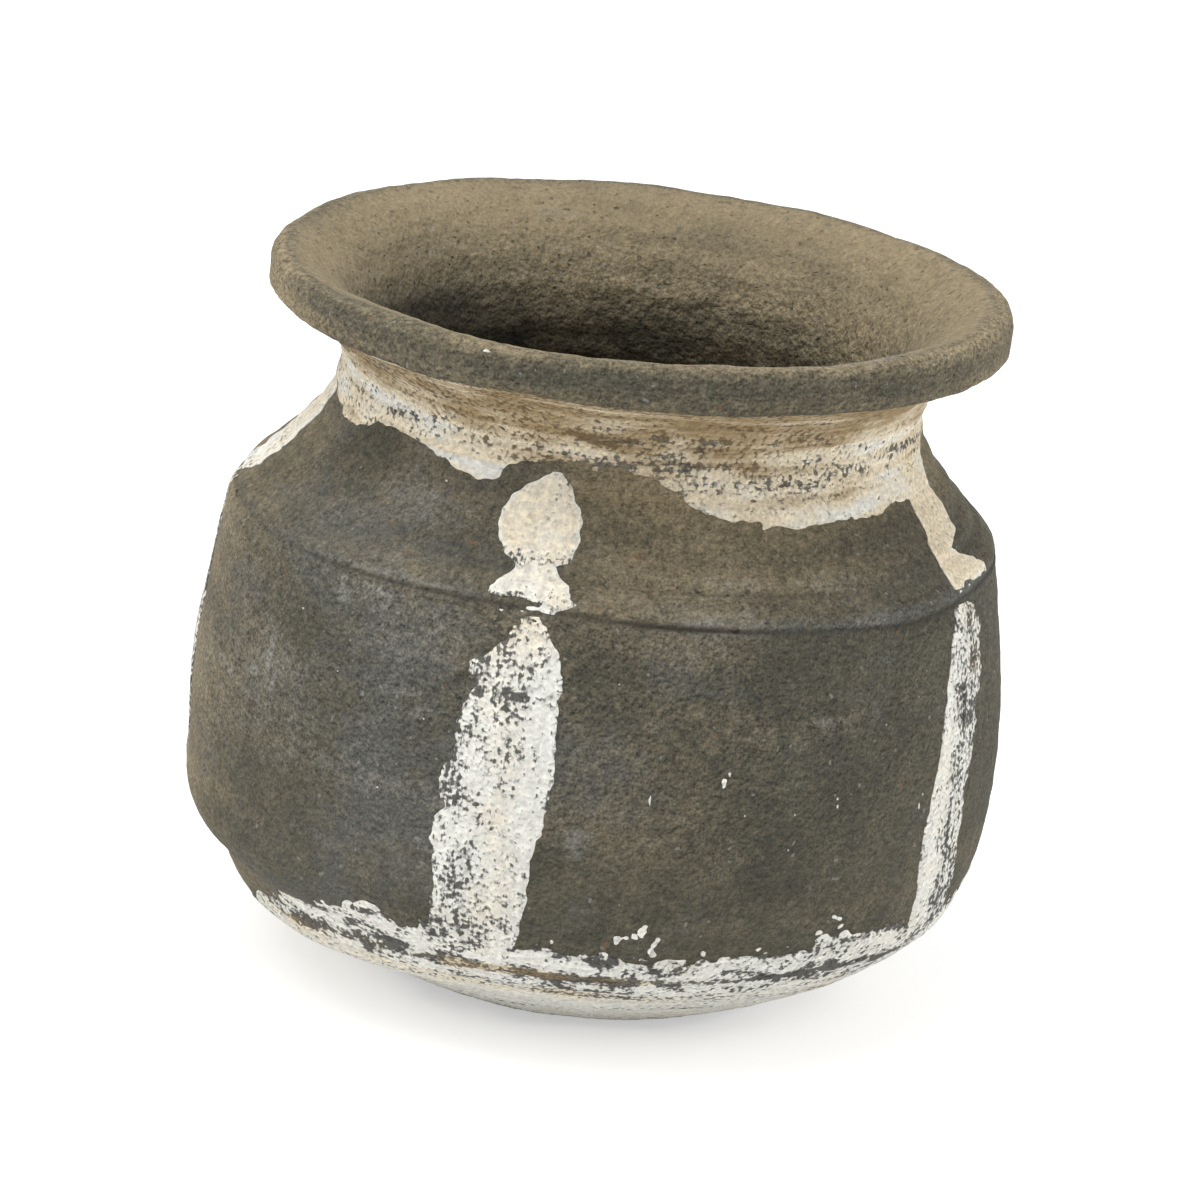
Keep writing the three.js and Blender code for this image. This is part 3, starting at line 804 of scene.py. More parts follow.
def trim(field, ring):
    """Parts of a grid where a field is above zero, cut along its zero line.

    Each cell is two triangles with alternating diagonals. A triangle that the line crosses
    keeps its inner corner or corners, and each cut lies where the field is zero between two
    corners. Returns the two grid points of each vertex, the share between them, and the
    triangles."""
    index = np.arange(field.size).reshape(field.shape)
    a, b = index[:, :-1], np.roll(index, -1, 0)[:, :-1]
    c, d = np.roll(index, -1, 0)[:, 1:], index[:, 1:]
    odd = (np.add.outer(np.arange(field.shape[0]), np.arange(field.shape[1] - 1)) % 2).astype(bool)
    one = np.where(odd[..., None], np.stack([a, b, c], -1), np.stack([a, b, d], -1))
    two = np.where(odd[..., None], np.stack([a, c, d], -1), np.stack([b, c, d], -1))
    if not ring:
        one, two = one[:-1], two[:-1]
    triangles = np.concatenate([one.reshape(-1, 3), two.reshape(-1, 3)])
    value = field.ravel()
    kept = value[triangles] > 0
    corners = kept.sum(1)
    whole = triangles[corners == 3]
    single = triangles[corners == 1]
    turn = kept[corners == 1].argmax(1)[:, None] + np.arange(3)
    single = np.take_along_axis(single, turn % 3, 1)
    double = triangles[corners == 2]
    turn = (~kept[corners == 2]).argmax(1)[:, None] + np.arange(3)
    double = np.take_along_axis(double, turn % 3, 1)
    pairs = np.concatenate([single[:, [0, 1]], single[:, [0, 2]], double[:, [1, 0]], double[:, [2, 0]]])
    keys, back = np.unique(pairs[:, 0] * field.size + pairs[:, 1], return_inverse=True)
    inner, outer = keys // field.size, keys % field.size
    cut = np.split(back.ravel() + field.size, np.cumsum([len(single), len(single), len(double)]))
    triangles = np.concatenate([
        whole,
        np.stack([single[:, 0], cut[0], cut[1]], -1),
        np.stack([double[:, 1], double[:, 2], cut[3]], -1),
        np.stack([double[:, 1], cut[3], cut[2]], -1),
    ])
    first = np.concatenate([index.ravel(), inner])
    second = np.concatenate([index.ravel(), outer])
    share = np.concatenate([np.zeros(field.size), value[inner] / (value[inner] - value[outer])])
    used, triangles = np.unique(triangles, return_inverse=True)
    return first[used], second[used], share[used], triangles.reshape(-1, 3)


class Coat:
    """A patch of brushed limewash on a grid of angle and way over the outside.

    Its lower and upper height and its cell are in mm, and its span is in degrees from the
    front. Without a span it runs round the pot."""

    # Depth of the coat's bottom under the clay, and length of a radian in its UV map.
    SUNK = 0.15 * MM
    UV_ANGLE = 0.1
    # Room for specks on a fresh coat and how much full wear takes of it, in spreads of the specks.
    FRESH_ROOM, WEAR_LOSS = 3.5, 2.5
    # Share of the film that is left at an edge, and the depth in mm at which the film is full.
    EDGE_FILM, FULL_DEPTH = 0.42, 1.5

    def __init__(self, work, look, low, high, cell, span=None, seed=0):
        self.work, self.look, self.cell = work, look, cell
        self.ring = span is None
        self.rng = np.random.default_rng(look.seed * 1000 + seed)
        line = work.outline
        start, end = line.outside(low * MM), line.outside(high * MM)
        radius = line.at(0.5 * (start + end))[0]
        left, right = (-np.pi, np.pi) if self.ring else np.radians(span)
        count = int((right - left) * radius / (cell * MM))
        angles = np.linspace(left, right, count, endpoint=not self.ring)
        self.az, self.way = np.meshgrid(angles, steps(start, end, cell * MM), indexing="ij")
        self.radius, z = line.at(self.way)[:2]
        self.degrees, self.height = np.degrees(self.az), z / MM

    def noise(self, across, along):
        """Random field over the grid, with its reach in mm across and along the pot."""
        return cloud(self.rng, self.az.shape, (across / self.cell, along / self.cell))

    def spot(self, *place):
        """Soft oval spot at an angle and a height, with half its width and half its height."""
        return spot(self.degrees, self.height, *place)

    def stroke(self, edges):
        """Depth in mm inside a stroke that has a left and a right edge at each height."""
        height, left, right = np.array(edges).T
        left, right = (np.interp(self.height, height, k) for k in (left, right))
        reach = np.radians(np.minimum(self.degrees - left, right - self.degrees)) * self.radius / MM
        ends = np.minimum(self.height - height[0], height[-1] - self.height)
        return np.minimum(reach, ends)

    def edge_height(self, edge):
        """Height at each angle of an edge that runs round the pot."""
        angle, height = np.array(edge).T
        return np.interp((self.degrees - angle[0]) % 360 + angle[0], angle, height)

    def splashes(self, spots):
        """Depth in mm inside the nearest of a few ragged drops."""
        angle, height, wide, tall = (k[:, None, None] for k in np.array(spots).T)
        across = np.radians(wrapped(self.degrees - angle)) * self.radius / MM
        across = across + 0.7 * self.noise(1.3, 1.3)
        away = np.hypot(2 * across / wide, 2 * (self.height - height + 0.6 * self.noise(1.3, 1.3)) / tall)
        return ((1.25 - away) * 0.5 * np.minimum(wide, tall)).max(0)

    def piece(self, name, depth, wear, stain, brush):
        """Closed coat, cut where its depth or the room that its worn specks leave reaches zero.

        Depth is how far a point lies inside the coat's edge in mm. Wear adds specks, and stain
        adds ochre, both from 0 to 1. A speck is a peak of three random fields added up.
        The top stands off the clay by a film that thins towards every edge, with ridges along
        the brush. The bottom lies just under the clay, and a wall joins them at each edge. The
        brush is the reach of its ridges in mm, across and along the pot."""
        work, look = self.work, self.look
        along = self.noise(*brush)
        specks = 0.70 * self.noise(0.6, 0.5) + 0.25 * self.noise(2.0, 1.8) + 0.75 * self.noise(1.9, 0.45)
        room = self.FRESH_ROOM - self.WEAR_LOSS * wear - specks / specks.std()
        first, second, share, triangles = trim(np.minimum(depth, 0.8 * room), self.ring)

        def read(grid):
            return grid.ravel()[first] * (1 - share) + grid.ravel()[second] * share

        turn = (self.az.ravel()[second] - self.az.ravel()[first] + np.pi) % TURN - np.pi
        az = self.az.ravel()[first] + turn * share
        way, inside, ridges = read(self.way), read(np.minimum(depth, 1.6 * room)), read(along)
        r, z, nr, nz = work.outline.at(way)
        relief = work.relief(az, way)
        full = ease(inside, 0.0, self.FULL_DEPTH)
        film = look.coat * (self.EDGE_FILM + (1 - self.EDGE_FILM) * full) * (1 + 0.16 * ridges)
        count = len(az)
        skins = [on_pot(r + k * nr, az, z + k * nz) for k in (relief + film, relief - self.SUNK)]
        sides = np.concatenate([triangles[:, [0, 1]], triangles[:, [1, 2]], triangles[:, [2, 0]]])
        single = ~np.isin(sides[:, 0] * count + sides[:, 1], sides[:, 1] * count + sides[:, 0])
        u, v = sides[single].T
        wall = np.stack([v, u, u + count, v + count], -1)
        uv = np.stack([az * self.UV_ANGLE, way], -1)
        if brush[0] > brush[1]:
            uv = uv[:, ::-1]
        rim = 1 - ease(read(depth), 0.0, 1.4)
        marks = {
            "stain": np.tile(np.clip(read(stain), 0, 1), 2),
            "thin": np.tile(np.clip(read(wear) + 0.05 * ridges + 0.06 * rim, 0, 1), 2),
        }
        faces = [triangles, triangles[:, ::-1] + count, wall]
        return make_piece(name, np.concatenate(skins), faces, marks, np.tile(uv, (2, 1)), angle=65)


class Value:
    """A shader value. Arithmetic on it adds Math nodes."""

    def __init__(self, board, socket):
        self.board, self.socket = board, socket

    def _with(self, operation, first, second=0.0):
        return self.board.add("ShaderNodeMath", {"operation": operation}, {0: first, 1: second})

    def __add__(self, other):
        return self._with("ADD", self, other)

    def __radd__(self, other):
        return self._with("ADD", other, self)

    def __sub__(self, other):
        return self._with("SUBTRACT", self, other)

    def __rsub__(self, other):
        return self._with("SUBTRACT", other, self)

    def __mul__(self, other):
        return self._with("MULTIPLY", self, other)

    def __rmul__(self, other):
        return self._with("MULTIPLY", other, self)

    def __abs__(self):
        return self._with("ABSOLUTE", self)


class Board:
    """Node tree of one material, with a Principled shader at its end."""

    def __init__(self, name):
        self.material = bpy.data.materials.new(name)
        self.material.use_nodes = True
        self.tree = self.material.node_tree
        self.tree.nodes.clear()
        self.shader = self.tree.nodes.new("ShaderNodeBsdfPrincipled")
        end = self.tree.nodes.new("ShaderNodeOutputMaterial")
        self.tree.links.new(self.shader.outputs[0], end.inputs["Surface"])

    def put(self, socket, value):
        """Links a value to a socket, or sets it there."""
        if isinstance(value, Value):
            self.tree.links.new(value.socket, socket)
        elif hasattr(socket.default_value, "__len__"):
            size = len(socket.default_value)
            socket.default_value = (tuple(value) + (1.0,))[:size]
        else:
            socket.default_value = value

    def add(self, kind, settings=None, inputs=None, output=0):
        """Adds a node, with its settings first and then its sockets, and gives one output."""
        node = self.tree.nodes.new(kind)
        for key, value in (settings or {}).items():
            setattr(node, key, value)
        for key, value in (inputs or {}).items():
            self.put(node.inputs[key], value)
        return Value(self, node.outputs[output])

    def mark(self, name):
        """A named value at the piece's points."""
        return self.add("ShaderNodeAttribute", {"attribute_name": name}, output="Fac")

    def noise(self, place, scale, detail=2.0, rough=0.5, spread=0.0):
        """Fractal noise, mostly between 0.3 and 0.7."""
        inputs = {
            "Vector": place, "Scale": scale, "Detail": detail, "Roughness": rough, "Distortion": spread}
        return self.add("ShaderNodeTexNoise", None, inputs)

    def drawn(self, place, scale, detail, rough):
        """Fractal noise with its own scale on each axis, so that it is drawn out."""
        place = self.add("ShaderNodeVectorMath", {"operation": "MULTIPLY"}, {0: place, 1: scale})
        return self.noise(place, 1.0, detail, rough)

    def shift(self, place, offset):
        """Place moved by an offset, so that a pattern on it lies beside its first self."""
        return self.add("ShaderNodeVectorMath", {"operation": "ADD"}, {0: place, 1: offset})

    def step(self, value, low, high):
        """Smooth step from 0 at low to 1 at high."""
        settings = {"interpolation_type": "SMOOTHSTEP"}
        return self.add("ShaderNodeMapRange", settings, {"Value": value, "From Min": low, "From Max": high})

    def blend(self, share, one, two):
        """Colour between two colours."""
        return self.add("ShaderNodeMix", {"data_type": "RGBA"}, {0: share, 6: one, 7: two}, output=2)

    def shade(self, colour, amount):
        """Colour made lighter or darker by a value."""
        return self.add("ShaderNodeVectorMath", {"operation": "SCALE"}, {0: colour, "Scale": amount})

    def finish(self, colour, roughness, height, strength, depth, gloss):
        """Links the surface and its bump to the shader."""
        self.put(self.shader.inputs["Base Color"], colour)
        self.put(self.shader.inputs["Roughness"], roughness)
        self.shader.inputs["Specular IOR Level"].default_value = gloss
        bump = self.add("ShaderNodeBump", None, {"Strength": strength, "Distance": depth, "Height": height})
        self.put(self.shader.inputs["Normal"], bump)
        return self.material


def clay_material(look):
    """Low-fired clay: smoked grey-brown with sand, ochre dust, pale scuffs and sooty pores, and painted
    light and shade on the flanks, in the creases and the throat, and on its small relief.
    """
    board = Board("fired_clay")
    place = board.add("ShaderNodeTexCoord", output="Object")
    dust, ash, soot, cool, sand, rugged, turned = (board.mark(k) for k in Weathering.MARKS)
    fine = board.noise(place, 1300, 2.0, 0.6)
    curl = board.noise(place, 640, 1.0, 0.5)
    # Painted light and shade of small relief: a noise minus itself read a little way off.
    painted_relief_light = board.noise(board.shift(place, PAINTED_LIGHT_SHIFT), 640, 1.0, 0.5) - curl
    coarse = board.noise(place, 350, 2.0, 0.6)
    # Painted light and shade of the coarse lumps, made the same way.
    ridge = board.noise(board.shift(place, COARSE_PAINTED_LIGHT_SHIFT), 350, 2.0, 0.6) - coarse
    grit = board.noise(place, 360, 3.0, 0.65)
    smudge = board.noise(place, 75, 4.0, 0.6)
    wide = board.noise(place, 17, 3.0, 0.55)
    slate = board.noise(place, 34, 3.0, 0.6, 0.4)
    rubbed = board.drawn(place, (80, 80, 380), 3.0, 0.6)
    mottle = board.step(0.8 * wide + 0.7 * smudge + 0.7 * grit, 0.76, 1.44)
    mottle = mottle + 0.6 * turned * (0.5 - mottle)
    colour = board.blend(mottle, look.dark, look.warm)
    slate = 0.7 * slate + 0.3 * board.noise(place, 290, 2.0, 0.6)
    colour = board.blend(0.85 * board.step(slate + 0.36 * cool, 0.60, 0.88), colour, look.slate)
    # Ochre dust, with painted light on the flanks, the lip's top and the crown's right.
    dust_and_light_share = board.step(dust + 0.26 * smudge + 0.36 * grit + 0.25 * fine, 0.56, 1.36)
    colour = board.blend(dust_and_light_share, colour, look.dust)
    # Pale scuffs, with painted light on the wall's left flank.
    scuffed_and_lit = board.step(ash + 0.50 * rubbed + 0.35 * grit + 0.25 * fine + 0.40 * curl, 0.92, 1.46)
    colour = board.blend(scuffed_and_lit, colour, look.ash)
    across = board.drawn(place, (900, 900, 60), 1.0, 0.5)
    along = board.drawn(place, (50, 50, 1100), 1.0, 0.5)
    scratch = board.step(abs(across - 0.5), 0.016, 0.0) + board.step(abs(along - 0.5), 0.014, 0.0)
    colour = board.blend(0.28 * scratch * board.step(smudge, 0.48, 0.66), colour, look.ash)
    grain = 0.50 * board.step(fine, 0.28, 0.72) + 0.30 * board.step(grit, 0.28, 0.72) - 0.40
    # The grain takes in the painted light and shade of small relief.
    grain = grain + 1.7 * painted_relief_light
    ring = board.drawn(place, (45, 45, 900), 2.0, 0.6) - 0.5
    # Shade of the clay: grain, painted light and shade on the coarse lumps where it is rugged, and turning
    # lines.
    colour = board.shade(colour, 0.93 + sand * grain + 1.1 * rugged * ridge + 0.8 * turned * ring)
    chip = board.step(board.noise(place, 480, 0.0), 0.80, 0.84)
    colour = board.blend(0.8 * chip, colour, look.ash)
    rust = board.step(board.noise(place, 300, 1.0, 0.5), 0.74, 0.80)
    colour = board.blend(0.45 * rust, colour, look.rust)
    pore = board.step(board.drawn(place, (430, 430, 731), 0.0, 0.5), 0.27, 0.19)
    pore = pore * (0.35 + 0.35 * board.step(dust, 0.30, 0.65))
    # Darkest in the pores and grit, and in the painted shade of the creases, the lip and the throat.
    dark = board.step(soot + 0.62 * pore + 0.30 * grit + 0.15 * fine, 0.32, 1.20)
    colour = board.blend(dark, colour, look.soot)
    roughness = look.roughness - 0.10 + 0.24 * grit
    height = sand * (0.45 * fine + 1.0 * grit + 0.60 * curl) - 0.9 * pore
    height = height + 0.6 * board.noise(place, 160, 2.0, 0.5) + 1.3 * rugged * coarse
    return board.finish(colour, roughness, height, 0.90, 0.60 * MM, 0.30)


def limewash_material(look):
    """Brushed limewash: chalk and cream, ochre stain, clay showing where it is thin, and painted light and
    shade of its small relief.
    """
    board = Board("brushed_limewash")
    place = board.add("ShaderNodeTexCoord", output="Object")
    brushed = board.add("ShaderNodeUVMap", {"uv_map": "brushed"})
    stain, thin = board.mark("stain"), board.mark("thin")
    fine = board.noise(place, 1200, 2.0, 0.6)
    worm = board.noise(place, 680, 0.5, 0.5)
    grain = board.noise(place, 420, 3.0, 0.6)
    cloudy = board.noise(place, 60, 3.0, 0.55)
    hair = board.drawn(brushed, (1700, 170, 1), 2.0, 0.55)
    streak = board.drawn(brushed, (420, 22, 1), 3.0, 0.55)
    cream = board.step(1.3 * stain + 0.6 * cloudy + 0.4 * grain, 0.50, 1.12)
    colour = board.blend(cream, look.chalk, look.cream)
    earthy = board.step(stain + 0.40 * cloudy + 0.50 * streak + 0.30 * grain, 1.00, 1.70)
    colour = board.blend(earthy, colour, look.ochre)
    colour = board.shade(colour, 0.58 + 0.30 * board.step(grain, 0.25, 0.75) + 0.20 * hair + 0.36 * streak)
    # Painted light and shade of small relief, stronger where the coat is stained.
    painted_relief_light = board.noise(board.shift(place, PAINTED_LIGHT_SHIFT), 680, 0.5, 0.5) - worm
    colour = board.shade(colour, 1.0 + (0.5 + 0.6 * stain) * painted_relief_light)
    pit = board.step(0.6 * worm + 0.4 * fine, 0.47, 0.33)
    colour = board.blend((0.16 + 0.44 * stain) * pit, colour, look.ochre)
    dirt = board.step(0.5 * streak + 0.5 * grain + 0.22 * stain, 0.66, 0.86)
    colour = board.blend(0.60 * dirt, colour, look.earth)
    brown = board.step(cloudy + 0.30 * stain, 0.62, 0.80)
    clay = board.blend(brown, look.clay, look.earth)
    clay = board.shade(clay, 0.5 + 1.0 * fine)
    vein = board.step(abs(board.noise(place, 330, 1.0, 0.5, 0.3) - 0.5), 0.060, 0.006)
    vein = vein * board.step(worm + 0.5 * thin, 0.52, 0.78)
    colour = board.blend((0.20 + 0.80 * thin + 0.20 * stain) * vein, colour, clay)
    bare = board.step(0.40 * worm + 0.25 * hair + 0.20 * fine + 0.15 * grain + 0.34 * thin, 0.64, 0.73)
    colour = board.blend((0.95 - 0.18 * stain) * bare, colour, clay)
    roughness = 0.98 - 0.12 * grain
    height = 0.4 * fine + 0.7 * grain + 0.6 * hair - 0.3 * pit - 0.9 * bare
    return board.finish(colour, roughness, height, 0.55, 0.4 * MM, 0.25)


def floor_material(colour):
    """Pale matt floor. Seen straight, in gloss or through glass it is lifted to white."""
    board = Board("pale_floor")
    board.put(board.shader.inputs["Base Color"], colour)
    board.shader.inputs["Roughness"].default_value = 1.0
    board.shader.inputs["Specular IOR Level"].default_value = 0.0
    rays = ("Is Camera Ray", "Is Glossy Ray", "Is Transmission Ray")
    camera, glossy, through = (board.add("ShaderNodeLightPath", output=k) for k in rays)
    lift = board.blend(camera + glossy + through, (0, 0, 0), (FLOOR_LIFT,) * 3)
    board.put(board.shader.inputs["Emission Color"], lift)
    board.shader.inputs["Emission Strength"].default_value = 1.0
    return board.material


def make_work(context):
    """The outline of the pot and the handwork on it, from the scene's settings."""
    return Handwork(Outline(context.scene.pot_shape))


def shared_material(name, make, look):
    """A material made once and used by every piece of its kind."""
    return bpy.data.materials.get(name) or make(look)


def add_clay(context, work, name, loop, poles=False):
    """Turns one clay section and hides the CAD node that it stands for."""
    piece = turned_section(name + "_clay", work, loop, COLUMNS[name], poles)
    settle(piece, shared_material("fired_clay", clay_material, context.scene.pot_clay), "clay", name)


def add_coat(context, piece, *nodes):
    """Gives a coat its limewash, and hides the CAD nodes that it stands for."""
    look = context.scene.pot_limewash
    settle(piece, shared_material("brushed_limewash", limewash_material, look), "limewash", *nodes)


class POT_OT_base_dish(bpy.types.Operator):
    """Turn the base dish with its flat foot"""

    bl_idname = "pot.base_dish"
    bl_label = "Base Dish"

    def execute(self, context):
        work = make_work(context)
        line, shape = work.outline, work.outline.shape
        end = line.outside(shape.base_rise)
        # Rings of the flat foot and of the floor over it, from near the axis outwards.
        flat = steps(2 * MM, shape.foot_radius, 2.6 * MM)[:-1]
        back = steps(line.inside(shape.base_rise + shape.lap), line.length - Outline.STEP, 1.5 * MM)
        loop = np.concatenate([
            off_line([(r, 0.0) for r in flat], 0.0),
            on_line(line, steps(0.0, end, 1.0 * MM)),
            off_line(lap_points(line, shape.base_rise), end),
            on_line(line, back),
            off_line([(r, shape.wall) for r in flat[::-1]], line.length),
        ], axis=1)
        add_clay(context, work, "base_dish", loop, poles=True)
        return {"FINISHED"}


class POT_OT_body_wall(bpy.types.Operator):
    """Turn the beaten wall of the belly"""

    bl_idname = "pot.body_wall"
    bl_label = "Body Wall"

    def execute(self, context):
        work = make_work(context)
        line = work.outline
        base = line.shape.base_rise
        loop = section_loop(
            line, base, line.ridge_height, out_step=1.25 * MM, in_step=3.4 * MM, near_ledge=True)
        add_clay(context, work, "body_wall", loop)
        return {"FINISHED"}


class POT_OT_shoulder(bpy.types.Operator):
    """Turn the shoulder that laps over the wall"""

    bl_idname = "pot.shoulder"
    bl_label = "Shoulder"

    def execute(self, context):
        work = make_work(context)
        line = work.outline
        top = line.neck_height - line.shape.collar_half
        loop = section_loop(
            line, line.ridge_height, top, out_step=0.9 * MM, in_step=1.8 * MM, near_ledge=True)
        add_clay(context, work, "shoulder", loop)
        return {"FINISHED"}


class POT_OT_neck_collar(bpy.types.Operator):
    """Turn the short neck"""

    bl_idname = "pot.neck_collar"
    bl_label = "Neck Collar"

    def execute(self, context):
        work = make_work(context)
        line, half = work.outline, work.outline.shape.collar_half
        loop = section_loop(
            line, line.neck_height - half, line.neck_height + half, out_step=1.1 * MM, in_step=0.8 * MM)
        add_clay(context, work, "neck_collar", loop)
        return {"FINISHED"}


class POT_OT_rim(bpy.types.Operator):
    """Turn the flared rim with its rolled lip"""

    bl_idname = "pot.rim"
    bl_label = "Rim"

    def execute(self, context):
        work = make_work(context)
        line = work.outline
        low = line.neck_height + line.shape.collar_half
        start, end = line.outside(low), line.inside(low + line.shape.lap)
        lip, crown = line.lip_low - 2 * MM, line.top + 4 * MM
        ways = np.concatenate([
            steps(start, lip, 0.9 * MM)[:-1],
            steps(lip, crown, 0.5 * MM),
            steps(crown, end, 0.75 * MM)[1:],
        ])
        loop = np.concatenate([on_line(line, ways), off_line(lap_points(line, low)[::-1], start)], axis=1)
        add_clay(context, work, "rim", loop)
        return {"FINISHED"}


class POT_OT_neck_band(bpy.types.Operator):
    """Brush the band round the neck"""

    bl_idname = "pot.neck_band"
    bl_label = "Neck Band"

    def execute(self, context):
        work, look = make_work(context), context.scene.pot_limewash
        coat = Coat(work, look, low=168, high=210.2, cell=NECK_CELL, seed=1)
        side, z = coat.degrees, coat.height
        over = z - coat.edge_height(NECK_EDGE)
        fuzzy = hump(side, -5, 13)
        ragged = 0.7 * coat.noise(5, 1.5) + 0.5 * coat.noise(1.4, 0.9) + 0.3 * coat.noise(0.8, 0.8)
        ragged = (0.6 + 0.5 * fuzzy) * ragged + 1.1 * fuzzy * coat.noise(2.2, 0.6)
        depth = np.minimum(over + ragged, NECK_TOP - z + 0.4 * ragged)
        rows = np.maximum(0.35 + 0.9 * coat.noise(8, 1.6), 0)
        lobe = ease(182.5 - z + over, 0, 4) * (1 - ease(over, 2.5, 7.5))
        wear = 0.31 - 0.18 * lobe + 0.04 * ease(z, 192, 198)
        for place in NECK_BLOTCHES:
            wear += 0.7 * coat.spot(*place)
        wear += 0.20 * coat.spot(34, 185.0, 12, 2.4) * (0.4 + rows)
        wear += 0.16 * coat.spot(-36, 188.5, 18, 3.4) * (0.3 + rows)
        wear += 0.34 * coat.spot(-7, 188.4, 12, 2.4) + 0.16 * coat.spot(11, 182, 5, 4)
        wear += 0.10 * hump(z, 188, 4) * rows - 0.08 * band(side, 46, 58, 80, 95)
        wear += 0.36 * coat.spot(-2, 196.5, 24, 2.6) * np.maximum(coat.noise(5, 1.6) - 0.1, 0)
        wear += 0.04 * coat.noise(26, 4) + 0.07 * coat.noise(3, 1) * (1 - 0.6 * lobe)
        # The stain rises towards the lip: browner and darker under it, partly ochre stain and partly
        # painted shadow of the lip.
        stain = 0.44 + 0.44 * ease(z, 187, 199) + 0.10 * coat.noise(16, 4) + 0.10 * coat.noise(4, 2.5)
        stain += 0.10 * coat.noise(14, 0.8) + 0.28 * coat.spot(50, 185, 26, 8)
        stain += 0.07 * lobe - 0.30 * coat.spot(-21, 195, 4, 4)
        stain -= 0.18 * hump(side, -58, 34) * (1 - ease(z, 190, 200))
        piece = coat.piece("neck_band_coat", depth, wear, stain, brush=(7.0, 0.5))
        add_coat(context, piece, "limewash_neck_band")
        return {"FINISHED"}


def stroke_coat(context, work, edges, below, above, seed):
    """Grid over one brush stroke, with some room below and above it in mm and beside it."""
    height, left, right = np.array(edges).T
    span = (left.min() - STROKE_ROOM, right.max() + STROKE_ROOM)
    low, high = height[0] - below, height[-1] + above
    return Coat(work, context.scene.pot_limewash, low, high, STROKE_CELL, span, seed)


class POT_OT_daubs(bpy.types.Operator):
    """Daub the shoulder with one brush mark above each stripe"""

    bl_idname = "pot.daubs"
    bl_label = "Shoulder Daubs"

    def execute(self, context):
        work = make_work(context)
        for seed, (name, (edges, worn, tinge)) in enumerate(DAUBS.items(), start=20):
            coat = stroke_coat(context, work, edges, below=2, above=2, seed=seed)
            z = coat.height
            hem = hump(z, 151, 2.4)
            depth = coat.stroke(edges) + 0.28 * coat.noise(1.6, 1.6) + 0.22 * coat.noise(0.8, 0.8)
            depth += worn * hem * (0.9 * coat.noise(4.0, 0.6) - 0.2)
            wear = 0.05 + worn * (0.40 * hump(z, 160.5, 2.6) + 0.42 * hem) + 0.05 * coat.noise(5, 6)
            rim = 1 - ease(depth, 0.5, 1.8)
            stain = tinge + 0.03 * coat.noise(4, 6) + 0.06 * hump(z, 172, 7) - 0.20 * rim
            stain -= 0.03 * (1 - ease(z, 158, 162))
            piece = coat.piece(f"daub_{name}_coat", depth, wear, stain, brush=(0.6, 5.0))
            add_coat(context, piece, f"limewash_daub_{name}")
        return {"FINISHED"}


class POT_OT_stripes(bpy.types.Operator):
    """Brush one stripe down the wall below each daub"""

    bl_idname = "pot.stripes"
    bl_label = "Wall Stripes"

    def execute(self, context):
        work = make_work(context)
        for seed, (name, (edges, dry, worn, bare, lean, gap)) in enumerate(STRIPES.items(), start=40):
            coat = stroke_coat(context, work, edges, below=1, above=2, seed=seed)
            z = coat.height
            height, left, right = np.array(edges).T
            middle, half = (np.interp(z, height, k) for k in ((left + right) / 2, (right - left) / 2))
            across = dry * (coat.degrees - middle) / half
            dried = ease(across, 0.2, 1) * ease(z, 70, 90)
            depth = coat.stroke(edges) + (0.22 + 0.50 * dried) * coat.noise(1.6, 1.6)
            depth += (0.15 + 0.40 * dried) * coat.noise(0.7, 0.6) + hump(z, 143, 4) * coat.noise(3, 0.7)
            wear = bare + lean * (ease(across, -0.5, 0.1) - 0.55)
            wear += worn * (0.10 * (1 - ease(z, 62, 86)) + 0.15 * ease(z, gap + 1, gap + 7))
            wear += 0.26 * worn * hump(across, 0.92, 0.30) * hump(z, gap - 31, 8)
            wear += 0.48 * worn * hump(z, gap, 2.1) * (0.9 + 0.15 * coat.noise(4, 2))
            wear += 0.03 * coat.noise(3, 12) + 0.07 * coat.noise(2.2, 1.6)
            wear += 0.12 * hump(across, 0.22, 0.05) * hump(z, 82, 22)
            wear = np.minimum(wear, MOST_WEAR)
            stain = 0.05 + 0.05 * coat.noise(5, 18) + 0.20 * ease(z, 128, 146)
            stain += 0.08 * hump(across, -0.3, 0.4)
            piece = coat.piece(f"stripe_{name}_coat", depth, wear, stain, brush=(0.55, 9.0))
            add_coat(context, piece, f"limewash_stripe_{name}")
        return {"FINISHED"}


def under_coat(work, look):
    """Plain coat of the underside, up to the base edge or the foot of the corner coat."""
    coat = Coat(work, look, low=2.5, high=33, cell=UNDER_CELL, seed=60)
    z = coat.height
    top = np.minimum(coat.edge_height(BASE_EDGE), UNDER_TOP)
    depth = np.minimum(top - z, z - UNDER_LOW) + 0.8 * coat.noise(6, 2)
    wear = 0.25 + 0.12 * coat.noise(30, 1.8) + 0.06 * ease(z, 22, 31)
    # The stain makes the underside creamier and darker: partly yellowed limewash and partly painted shade
    # on the underside.
    stain = 0.12 + 0.06 * coat.noise(30, 5)
    return coat.piece("base_under_coat", depth, wear, stain, brush=(9.0, 1.2))


